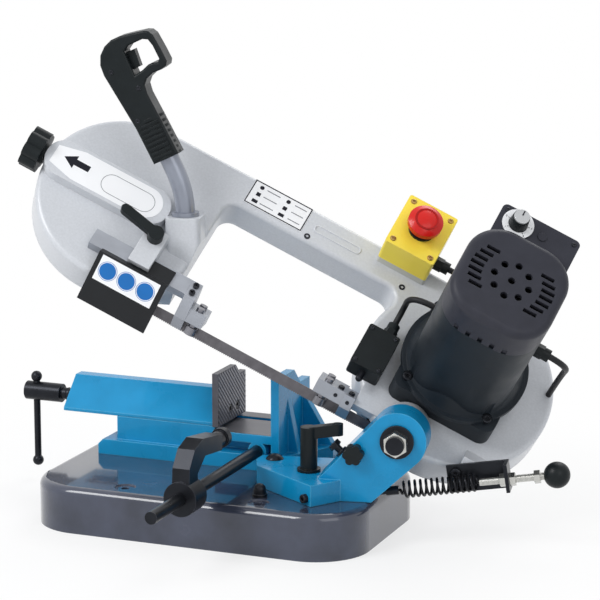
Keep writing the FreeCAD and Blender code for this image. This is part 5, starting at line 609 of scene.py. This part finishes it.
def beam_screws():
    spots = crossed(BEAM_XS, BEAM_WS, BEAM_SEAT)
    on_spots("beam_screws", cap_head(*BEAM_HEAD), spots, TO_FRONT, BLACK_OXIDE, BOW, "saw_head")


GUIDE_HEAD, SET_HEAD = (3.6, 3.2), (2.2, 0.8)
LEFT_GUIDE_SPOTS = ((-276.5, 20.0, 40.3), (-276.5, 30.0, 40.3))
RIGHT_GUIDE_TOPS = ((-82.0, -8.5, 4.0), (-68.5, -12.0, 4.0))
RIGHT_GUIDE_FRONTS = ((-84.0, -15.0, -4.0), (-68.5, -20.0, -4.0))
BRACKET_HEAD, BRACKET_SPOTS = (5.4, 4.2), ((63.0, 11.0, 10.5),)
CORNER_HEAD, CORNER_SPOTS, CORNER_FACING = (5.0, 5.2), ((51.8, -95.0, 60.0),), (-0.702, -0.712, 0)


def guide_bolts():
    """Cap screws on both guide blocks."""
    on_spots("left_guide_bolts", cap_head(*GUIDE_HEAD), LEFT_GUIDE_SPOTS, TO_FRONT, BLACK_OXIDE, BOW,
             "left_guide")
    on_spots("right_guide_bolts", cap_head(*GUIDE_HEAD), RIGHT_GUIDE_TOPS, UPWARDS, BLACK_OXIDE, HEAD,
             "saw_head")
    on_spots("right_guide_screws", cap_head(*SET_HEAD), RIGHT_GUIDE_FRONTS, TO_VIEWER, BLACK_OXIDE, HEAD,
             "saw_head")


def bracket_bolt():
    on_spots("bracket_bolt", cap_head(*BRACKET_HEAD), BRACKET_SPOTS, TO_VIEWER, BLACK_OXIDE, SPRING_LINE,
             "saw_head")


def corner_bolt():
    """The bolt at the foot of the swivel arm's front corner."""
    on_spots("corner_bolt", cap_head(*CORNER_HEAD), CORNER_SPOTS, CORNER_FACING, BLACK_OXIDE, ARM,
             "swivel_arm")


VISE_THREAD = {"length": 34.0, "pitch": 4.0, "radius": 6.8, "ridge": 0.9}
VISE_THREAD_SPOT = (-233.0, 66.0, 107.0)
ADJUSTER_THREAD = {"length": 76.0, "pitch": 1.5, "radius": 3.9, "ridge": 0.5}
ADJUSTER_THREAD_X = 92.0


def screw_threads():
    wound("vise_thread", **VISE_THREAD, material=BLACK_OXIDE,
          place=shifted(*VISE_THREAD_SPOT) @ FACING_RIGHT, body="vise_screw", slot="dark_steel")
    wound("adjuster_thread", **ADJUSTER_THREAD, material=BRIGHT_ZINC,
          place=SPRING_LINE @ shifted(ADJUSTER_THREAD_X, 0, 0) @ FACING_RIGHT, body="saw_head", slot="zinc")


# Grip and planed table

RIB_SIZE, RIB_HEIGHT = (3.0, 25.0, 1.4), 1.2
RIB_PITCH, RIB_FIRST, RIB_ACROSS, RIB_COUNT = 5.4, 5.0, -1.0, 8
GRIP_HEAD, GRIP_SCREWS = (2.8, 0.7), ((51.0, -11.0), (84.0, 6.0), (112.0, -15.0))
GRIP_HALF = 15.5


def grip_ribs():
    """Raised ribs on both sides of the grip's sleeve, and the screws in its front."""
    for name, side in (("grip_ribs_front", -1), ("grip_ribs_back", 1)):
        spots = [(RIB_FIRST + RIB_PITCH * i, RIB_ACROSS, side * GRIP_HALF) for i in range(RIB_COUNT)]
        rib = slab(box_outline(*RIB_SIZE), 0, RIB_HEIGHT)
        on_spots(name, rib, spots, (0, 0, side), BLACK_PLASTIC, GRIP, "saw_head", turn=0.0)
    spots = [(*spot, -GRIP_HALF) for spot in GRIP_SCREWS]
    on_spots("grip_screws", cap_head(*GRIP_HEAD), spots, TO_REAR, BLACK_OXIDE, GRIP, "saw_head")


TABLE_XS, TABLE_TOP = (-24.6, 46.6), 94.0
TABLE_STRIPS = ((20.4, 82.3), (92.7, 112.6))
PLATE_FILM = 0.3


def table_skin():
    """The bare planed top of the vise table, either side of its slot."""
    layers = []
    for front, back in TABLE_STRIPS:
        middle = (sum(TABLE_XS) / 2, (front + back) / 2)
        strip = box_outline(TABLE_XS[1] - TABLE_XS[0], back - front)
        layers.append((slab(strip, TABLE_TOP, TABLE_TOP + PLATE_FILM, at=middle), TABLE_STEEL))
    piece("table_skin", layers, BENCH, "base")


# Plates and marks, left without words

FILM = 0.4
INK = 0.55
CAPACITY_SIZE, CAPACITY_SPOT = (74.0, 34.0), (-246.0, 181.0, BOW_FRONT)
CAPACITY_RIMS = (0.8, 3.4)
ROUND_MARK, SQUARE_MARK, FLAT_MARK = 2.6, (5.0, 5.0), (7.0, 4.2)
CAPACITY_MARKS = (disc_outline(ROUND_MARK), box_outline(*SQUARE_MARK), box_outline(*FLAT_MARK))
CAPACITY_LEVELS = (10.0, 0.0, -10.0)
MARK_XS = (-26.0, 8.0)
MARK_LINES = ((-11.0, 17.0), (24.0, 15.0))
LINE_WIDTH = 1.1


def capacity_plate():
    """A bordered white plate with three rows of plain section marks."""
    width, height = CAPACITY_SIZE
    outer, inner = (box_outline(width - inset, height - inset) for inset in CAPACITY_RIMS)
    layers = [(slab(box_outline(width, height), 0, FILM), WHITE_FILM),
              (rim(outer, inner, FILM, INK), INK_BLACK)]
    for mark, level in zip(CAPACITY_MARKS, CAPACITY_LEVELS):
        layers += [(slab(mark, FILM, INK, at=(x, level)), INK_BLACK) for x in MARK_XS]
        layers += [(slab(box_outline(length, LINE_WIDTH), FILM, INK, at=(x, level)), INK_GREY)
                   for x, length in MARK_LINES]
    piece("capacity_plate", layers, BOW @ shifted(*CAPACITY_SPOT), "saw_head")


EMBOSS_SIZE, EMBOSS_SPOT, EMBOSS_RADIUS = (58.0, 9.0, 4.4), (-168.0, 178.0, 27.1), 1.1


def beam_emboss():
    """The long raised loop on the beam's face."""
    path = [(x, y, 0) for x, y in box_outline(*EMBOSS_SIZE)]
    place = BOW @ shifted(*EMBOSS_SPOT)
    loop = bent_wire("beam_emboss", path, EMBOSS_RADIUS, SILVER_PAINT, place, closed=True)
    carried(loop, "saw_head")


ARROW_PLATE_X = -422.5
PLATE_LEFT, PLATE_LEFT_HALF, PLATE_SHOULDER = -69.0, 12.0, -38.0
PLATE_RIGHT, PLATE_HALF, PLATE_STEPS = 48.0, 20.0, 24
ARROW = ((-30.0, 0.0), (-16.0, -9.0), (-16.0, -4.0), (2.0, -4.0), (2.0, 4.0), (-16.0, 4.0), (-16.0, 9.0))
ARROW_SPOT, OBLONG_SPOT = (-27.0, 2.0), (26.0, -1.0)
OBLONGS = ((66.0, 26.0, 12.5), (64.8, 24.8, 11.9))


def arrow_plate():
    """The tension house's white plate with a plain arrow for the band's way and an empty oblong."""
    nose = [on_circle(PLATE_HALF, 2 * QUARTER * i / PLATE_STEPS - QUARTER, (PLATE_RIGHT, 0))
            for i in range(PLATE_STEPS + 1)]
    film = [*nose, (PLATE_SHOULDER, PLATE_HALF), (PLATE_LEFT, PLATE_LEFT_HALF),
            (PLATE_LEFT, -PLATE_LEFT_HALF), (PLATE_SHOULDER, -PLATE_HALF)]
    outer, inner = (box_outline(*size) for size in OBLONGS)
    layers = [(slab(film, 0, FILM), WHITE_FILM),
              (slab(ARROW, FILM, INK, at=ARROW_SPOT), INK_BLACK),
              (rim(outer, inner, FILM, INK, at=OBLONG_SPOT), INK_GREY)]
    place = BOW @ shifted(ARROW_PLATE_X, WHEEL_W, HOUSE_FRONT)
    piece("arrow_plate", layers, place, "saw_head")


GUARD_PANEL, GUARD_PANEL_SPOT = (72.0, 30.0), (-345.5, -29.6, 0.5)
GUARD_DISC, GUARD_RIMS = 9.6, (11.0, 10.5)
GUARD_DISC_XS = (-23.5, 0.0, 23.5)


def guard_panel():
    """A white panel with three plain blue discs on the guard."""
    layers = [(slab(box_outline(*GUARD_PANEL), 0, FILM), WHITE_FILM)]
    outer, inner = (disc_outline(radius) for radius in GUARD_RIMS)
    for x in GUARD_DISC_XS:
        layers.append((slab(disc_outline(GUARD_DISC), FILM, INK, at=(x, 0.0)), INK_BLUE))
        layers.append((rim(outer, inner, FILM, INK, at=(x, 0.0)), INK_BLUE))
    place = HEAD @ shifted(*GUARD_PANEL_SPOT) @ FACING_FRONT
    piece("guard_panel", layers, place, "left_guide")


DIAL_SPOT = (3.0, 171.0, 241.2)
DIAL_RIMS = (17.6, 10.8)
DIAL_FILM, DIAL_INK = 0.25, 0.4
TICK_SIZE, TICK_REACH, NUMBER_REACH, NUMBER_HEIGHT = (1.6, 0.6), 12.2, 15.2, 3.2
DIAL_FIRST, DIAL_SWEEP, DIAL_COUNT = 225.0, 270.0, 6
SKIRT_RINGS = ((10.5, 0.6), (9.2, 14.6), (8.3, 14.6), (9.6, 0.6))
POINTER_SIZE, POINTER_SPOT, POINTER_HEIGHT = (1.4, 6.4), (0.0, 4.4), 0.3


def speed_marks():
    """A white ring with ticks and plain numbers round the speed knob, and the knob's skirt and pointer."""
    dial = BOW @ shifted(*DIAL_SPOT)
    outer, inner = (disc_outline(radius) for radius in DIAL_RIMS)
    layers = [(rim(outer, inner, 0, DIAL_FILM), WHITE_FILM)]
    for i in range(DIAL_COUNT):
        turn = DIAL_FIRST - DIAL_SWEEP * i / (DIAL_COUNT - 1)
        tick = slab(box_outline(*TICK_SIZE), DIAL_FILM, DIAL_INK, on_circle(TICK_REACH, turn), turn)
        layers.append((tick, INK_BLACK))
        layers.append((number_shape(str(i + 1), on_circle(NUMBER_REACH, turn)), INK_BLACK))
    piece("speed_marks", layers, dial, "saw_head")
    rings = [[(*spot, height) for spot in disc_outline(radius)] for radius, height in SKIRT_RINGS]
    piece("knob_skirt", [(joined_rings(rings, True), BLACK_PLASTIC)], dial, "speed_knob")
    top = highest("speed_knob", dial)
    pointer = slab(box_outline(*POINTER_SIZE), top, top + POINTER_HEIGHT, at=POINTER_SPOT)
    piece("knob_pointer", [(pointer, INK_BLACK)], dial, "speed_knob")


def number_shape(word, spot):
    """A number as a thin solid, centred on a spot of the dial."""
    text = bpy.data.curves.new("number", "FONT")
    text.body = word
    text.size = NUMBER_HEIGHT
    text.extrude = (DIAL_INK - DIAL_FILM) / 2
    text.align_x = "CENTER"
    text.align_y = "CENTER"
    holder = shown("number", text)
    bpy.context.view_layer.update()
    mesh = bpy.data.meshes.new_from_object(holder.evaluated_get(bpy.context.evaluated_depsgraph_get()))
    mesh.transform(shifted(*spot, (DIAL_INK + DIAL_FILM) / 2))
    shape = bmesh.new()
    shape.from_mesh(mesh)
    bpy.data.objects.remove(holder)
    bpy.data.meshes.remove(mesh)
    return shape


STOP_SPOT, COLLAR_RADII, COLLAR_HEIGHT = (-88.5, 213.0, 75.0), (15.5, 11.6), 3.0
CROWN_RADII, CROWN_LOW, CROWN_HIGH = (13.4, 11.4), 23.4, 25.4


def stop_collar():
    """The collar under the stop button and the raised ring on its crown."""
    place = BOW @ shifted(*STOP_SPOT)
    outer, inner = (disc_outline(radius) for radius in COLLAR_RADII)
    piece("stop_collar", [(rim(outer, inner, 0, COLLAR_HEIGHT), BLACK_PLASTIC)], place, "saw_head")
    outer, inner = (disc_outline(radius) for radius in CROWN_RADII)
    piece("crown_ring", [(rim(outer, inner, CROWN_LOW, CROWN_HIGH), DEEP_RED)], place, "estop_button")


# Jaw ridges

JAW_FACE_X = -18.0
JAW_FRONT_Y, JAW_STEP_Y, JAW_BACK_Y = 21.0, 83.5, 99.0
JAW_FOOT_Z, JAW_STEP_Z, JAW_TOP_Z = 99.0, 147.0, 159.0
JAW_FACE = ((JAW_FRONT_Y, JAW_FOOT_Z), (JAW_BACK_Y, JAW_FOOT_Z), (JAW_BACK_Y, JAW_STEP_Z),
            (JAW_STEP_Y, JAW_STEP_Z), (JAW_STEP_Y, JAW_TOP_Z), (JAW_FRONT_Y, JAW_TOP_Z))
JAW_BEVEL_SUM = 229.5
JAW_HOLE_RADIUS = 6.2
RIDGE_PITCH, RIDGE_ANGLE, RIDGE_HEIGHT = 4.4, -45.0, 0.55
RIDGE_FOOT_SHARE, RIDGE_TOP_SHARE = 0.34, 0.22
RIDGE_ROWS = range(-24, 25)
LEAST_RIDGE = 2.0
TOWARDS_RIGHT = Matrix(((0, 0, 1, 0), (1, 0, 0, 0), (0, 1, 0, 0), (0, 0, 0, 1)))


def inside_runs(origin, way):
    """The stretches of a slanting line on the jaw's face, clear of its screws and its bevelled corner."""

    def across_box(left, right, bottom, top):
        ys = sorted(((left - origin.x) / way.x, (right - origin.x) / way.x))
        zs = sorted(((bottom - origin.y) / way.y, (top - origin.y) / way.y))
        return max(ys[0], zs[0]), min(ys[1], zs[1])

    top_z = JAW_TOP_Z if origin.x + origin.y < JAW_BEVEL_SUM else JAW_STEP_Z
    runs = [across_box(JAW_FRONT_Y, JAW_STEP_Y, JAW_FOOT_Z, top_z),
            across_box(JAW_STEP_Y, JAW_BACK_Y, JAW_FOOT_Z, JAW_STEP_Z)]
    for _, y, z in JAW_SCREW_SPOTS:
        away = Vector((y, z)) - origin
        middle = away.dot(way)
        room = JAW_HOLE_RADIUS ** 2 - (away - way * middle).length_squared
        if room > 0:
            half = math.sqrt(room)
            runs = [part for low, high in runs for part in ((low, min(high, middle - half)),
                                                            (max(low, middle + half), high))]
    return [(origin + way * low, origin + way * high) for low, high in runs if high - low > LEAST_RIDGE]


def jaw_ridges():
    """Slanting ridges on the moving jaw's plate, in a lighter copy of the jaw's steel that paints a
    highlight on them.
    """
    way = Vector(on_circle(1, RIDGE_ANGLE))
    across = Vector((-way.y, way.x))
    middle = sum((Vector(p) for p in JAW_FACE), Vector((0, 0))) / len(JAW_FACE)
    foot, top = (across * (RIDGE_PITCH * share) for share in (RIDGE_FOOT_SHARE, RIDGE_TOP_SHARE))
    section = ((-foot, 0), (-top, RIDGE_HEIGHT), (top, RIDGE_HEIGHT), (foot, 0))
    layers = []
    for row in RIDGE_ROWS:
        for run in inside_runs(middle + across * (RIDGE_PITCH * row), way):
            ends = [[(*(spot + side), height) for side, height in section] for spot in run]
            layers.append((joined_rings(ends, False), RIDGE_HIGHLIGHT_STEEL))
    place = shifted(JAW_FACE_X, 0, 0) @ TOWARDS_RIGHT
    piece("jaw_plate_ridges", layers, place, "movable_jaw")


# Spring, band and leads

SPRING_LENGTH = 89.0
COIL_RADIUS, COIL_WIRE, COIL_TURNS, COIL_SEAT = 8.5, 1.5, 13, 5.8
COIL_INSET = 1.35
COIL_STEPS = 26


def counter_spring():
    """The wound wire between the anchor post and the adjuster, eased out of its straight ends."""
    half = COIL_STEPS // 2
    total = COIL_TURNS * COIL_STEPS
    path = [(-COIL_SEAT, 0, 0), (-COIL_SEAT / 2, 0, 0), (0, 0, 0)]
    for i in range(-half, total + half + 1):
        share = min((i + half) / half, (total + half - i) / half, 1)
        reach = COIL_RADIUS * share * share * (3 - 2 * share)
        along = COIL_INSET + (SPRING_LENGTH - COIL_INSET * 2) * (i + half) / (total + COIL_STEPS)
        path.append((along, *on_circle(reach, WHOLE_ROUND * i / COIL_STEPS)))
    path += [(SPRING_LENGTH + COIL_SEAT * share, 0, 0) for share in (0, 1 / 2, 1)]
    spring = bent_wire("counter_spring_wire", path, COIL_WIRE, SPRING_BLACK, SPRING_LINE)
    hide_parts("counter_spring")
    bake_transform(spring)


BAND_LENGTH, BAND_HALF_WIDTH, BAND_HALF_THICK = 1435.0, 6.5, 0.325
BAND_TEETH, TOOTH_DEPTH, TOOTH_SHARE = 600, 1.3, 0.72
GUIDE_RIGHT_X, GUIDE_LEFT_X = -62.0, -283.0


def band_spot(run):
    """The band's x, w, lean and turn round a wheel after a length from the drive wheel's foot."""
    reach = DRIVE_X - IDLER_X
    half_round = math.pi * WHEEL_W
    if run < reach:
        x = DRIVE_X - run
        twist = min((DRIVE_X - x) / (DRIVE_X - GUIDE_RIGHT_X), (x - IDLER_X) / (GUIDE_LEFT_X - IDLER_X), 1)
        return x, 0.0, math.radians(BOW_ANGLE * twist), 0.0
    run -= reach
    if run < half_round:
        turn = run / WHEEL_W
        return IDLER_X - WHEEL_W * math.sin(turn), WHEEL_W * (1 - math.cos(turn)), 0.0, turn
    run -= half_round
    if run < reach:
        return IDLER_X + run, 2 * WHEEL_W, 0.0, math.pi
    turn = (run - reach) / WHEEL_W
    return DRIVE_X + WHEEL_W * math.sin(turn), WHEEL_W * (1 + math.cos(turn)), 0.0, math.pi + turn


def band_ring(run, edge):
    """The band's section at a length along it, its toothed edge at a given height."""
    x, w, lean, turn = band_spot(run)
    wide = Vector((0, math.sin(lean), math.cos(lean)))
    out = Vector((-math.sin(turn), -math.cos(turn) * math.cos(lean), math.sin(lean)))
    corners = ((BAND_HALF_WIDTH, BAND_HALF_THICK), (BAND_HALF_WIDTH, -BAND_HALF_THICK),
               (edge, -BAND_HALF_THICK), (edge, BAND_HALF_THICK))
    return [Vector((x, w, 0)) + wide * a + out * b for a, b in corners]


def saw_band():
    """The band with its fine teeth, twisted upright between the guides."""
    pitch = BAND_LENGTH / BAND_TEETH
    rings = []
    for i in range(BAND_TEETH):
        rings.append(band_ring(pitch * i, TOOTH_DEPTH - BAND_HALF_WIDTH))
        rings.append(band_ring(pitch * (i + TOOTH_SHARE), -BAND_HALF_WIDTH))
    band = piece("toothed_band", [(joined_rings(rings, True), BLADE_STEEL)], BOW, "saw_head")
    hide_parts("saw_blade")


LEAD_DIAMETER = 0.007
LEAD_ROUNDS, LEAD_STEPS, LEAD_ORDER = 4, 16, 3
# Each lead's route in the bow's frame, and its length in metres
LEADS = {
    "stop_lead": ([(-49.0, 205.0, 40.0), (8.0, 205.0, 40.0), (8.0, 170.0, 90.0), (8.0, 170.0, 175.7)],
                  0.1856),
    "switch_lead": ([(-64.0, 97.0, 42.0), (-64.0, 126.0, 42.0), (-64.0, 126.0, 84.0), (-32.0, 126.0, 84.0)],
                    0.0842),
    "motor_lead": ([(92.3, 100.0, 150.0), (124.0, 100.0, 150.0), (124.0, 130.0, 80.0),
                    (124.0, 130.0, 27.3)], 0.1463),
}


def control_leads():
    """The leads of the stop switch, the limit switch and the motor, each on one smooth curve."""
    for name, (route, length) in LEADS.items():
        curve = bpy.data.curves.new(name, "CURVE")
        curve.dimensions = "3D"
        curve.bevel_depth = LEAD_DIAMETER / 2
        curve.bevel_resolution = LEAD_ROUNDS
        curve.resolution_u = LEAD_STEPS
        curve.use_fill_caps = True
        spots = [Matrix.Scale(MM, 4) @ BOW @ Vector(spot) for spot in route]
        spline = curve.splines.new("NURBS")
        spline.points.add(len(spots) - 1)
        for point, spot in zip(spline.points, spots):
            point.co = (*spot, 1.0)
        spline.order_u = LEAD_ORDER
        spline.use_endpoint_u = True
        curve.materials.append(CABLE_RUBBER)
        lead = carried(shown(name, curve), "saw_head")
        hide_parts("control_leads")


# Floor, light and camera

FLOOR_RADIUS, FLOOR_SIDES, FLOOR_ROUGHNESS = 12.0, 96, 0.9
FLOOR_COLOUR = (0.9, 0.9, 0.9, 1.0)
FADE_NEAR, FADE_FAR, NEAR_WHITE_SHARE = 0.2, 0.65, 0.68
WHITE = (1.0, 1.0, 1.0, 1.0)
AIR_COLOUR, AIR_STRENGTH = (0.95, 0.97, 1.0, 1.0), 0.55


def any_ray(tree, *kinds):
    """One where a ray of any of the kinds looks, and zero elsewhere."""
    rays = add_node(tree, "ShaderNodeLightPath").outputs
    seen = rays[kinds[0]]
    for kind in kinds[1:]:
        either = add_node(tree, "ShaderNodeMath", {0: seen, 1: rays[kind]}, operation="MAXIMUM")
        seen = either.outputs["Value"]
    return seen


def mixed_into(tree, share, first, second, end):
    mixed = add_node(tree, "ShaderNodeMixShader", {"Fac": share, 1: first, 2: second})
    tree.links.new(mixed.outputs["Shader"], end.inputs["Surface"])


def white_ground():
    """A pale floor that fades into the white background, and keeps the saw's shadow."""
    shape = bmesh.new()
    bmesh.ops.create_circle(shape, cap_ends=True, segments=FLOOR_SIDES, radius=FLOOR_RADIUS)
    mesh = bpy.data.meshes.new("floor")
    shape.to_mesh(mesh)
    shape.free()
    paint = bpy.data.materials.new("pale floor")
    paint.use_nodes = True
    tree = paint.node_tree
    shader = tree.nodes["Principled BSDF"]
    shader.inputs["Base Color"].default_value = FLOOR_COLOUR
    shader.inputs["Roughness"].default_value = FLOOR_ROUGHNESS
    spot = add_node(tree, "ShaderNodeTexCoord").outputs["Object"]
    reach = add_node(tree, "ShaderNodeVectorMath", {0: spot}, operation="LENGTH").outputs["Value"]
    ends = {"Value": reach, "From Min": FADE_NEAR, "From Max": FADE_FAR, "To Min": NEAR_WHITE_SHARE,
            "To Max": 1.0}
    far = add_node(tree, "ShaderNodeMapRange", ends).outputs["Result"]
    seen = any_ray(tree, "Is Camera Ray", "Is Glossy Ray", "Is Transmission Ray")
    share = add_node(tree, "ShaderNodeMath", {0: seen, 1: far}, operation="MULTIPLY").outputs["Value"]
    glow = add_node(tree, "ShaderNodeEmission", {"Color": WHITE, "Strength": 1.0}).outputs["Emission"]
    mixed_into(tree, share, shader.outputs["BSDF"], glow, tree.nodes["Material Output"])
    mesh.materials.append(paint)
    shown("floor", mesh)


def studio_air():
    """Even light from all round; the camera and reflections see white."""
    world = bpy.data.worlds.new("studio")
    bpy.context.scene.world = world
    world.use_nodes = True
    tree = world.node_tree
    tree.nodes.clear()
    fill = add_node(tree, "ShaderNodeBackground", {"Color": AIR_COLOUR, "Strength": AIR_STRENGTH})
    white = add_node(tree, "ShaderNodeBackground", {"Color": WHITE, "Strength": 1.0})
    seen = any_ray(tree, "Is Camera Ray", "Is Glossy Ray", "Is Transmission Ray")
    mixed_into(tree, seen, fill.outputs["Background"], white.outputs["Background"],
               add_node(tree, "ShaderNodeOutputWorld"))


LOOK_AT = Vector((0.040, 0.125, 0.230))
CAMERA_DISTANCE = 3.0
CAMERA_AZIMUTH = 22.0
CAMERA_ELEVATION = 12.0
CAMERA_LENS = 156.0
LAMPS = {
    "key lamp": ((-1.3, -1.9, 2.3), 1.3, 54.0),
    "fill lamp": ((1.9, -1.5, 1.4), 1.6, 12.0),
    "back lamp": ((0.3, 1.8, 2.2), 1.4, 20.0),
}


def aimed(obj, spot):
    obj.location = spot
    obj.rotation_euler = (LOOK_AT - Vector(spot)).to_track_quat("-Z", "Y").to_euler()


def studio_lamps():
    for name, (spot, size, power) in LAMPS.items():
        light = bpy.data.lights.new(name, "AREA")
        light.size = size
        light.energy = power
        aimed(shown(name, light), spot)


def camera():
    lens = bpy.data.cameras.new("camera")
    lens.lens = CAMERA_LENS
    way = turned(CAMERA_AZIMUTH, "Z") @ turned(-CAMERA_ELEVATION, "X") @ Vector((0, -1, 0))
    obj = shown("camera", lens)
    aimed(obj, LOOK_AT + way * CAMERA_DISTANCE)
    bpy.context.scene.camera = obj


PIECES = (dress_nodes, control_leads, counter_spring, saw_band, cover_screws, case_screws, jaw_plate_screws,
          stop_lid_screws, switch_screws, control_screws, beam_screws, guide_bolts, bracket_bolt,
          corner_bolt, screw_threads, grip_ribs, table_skin, capacity_plate, beam_emboss, arrow_plate,
          guard_panel, speed_marks, stop_collar, jaw_ridges, white_ground, studio_air, studio_lamps, camera)

for make in PIECES:
    make()
bpy.context.scene.view_settings.view_transform = "Standard"
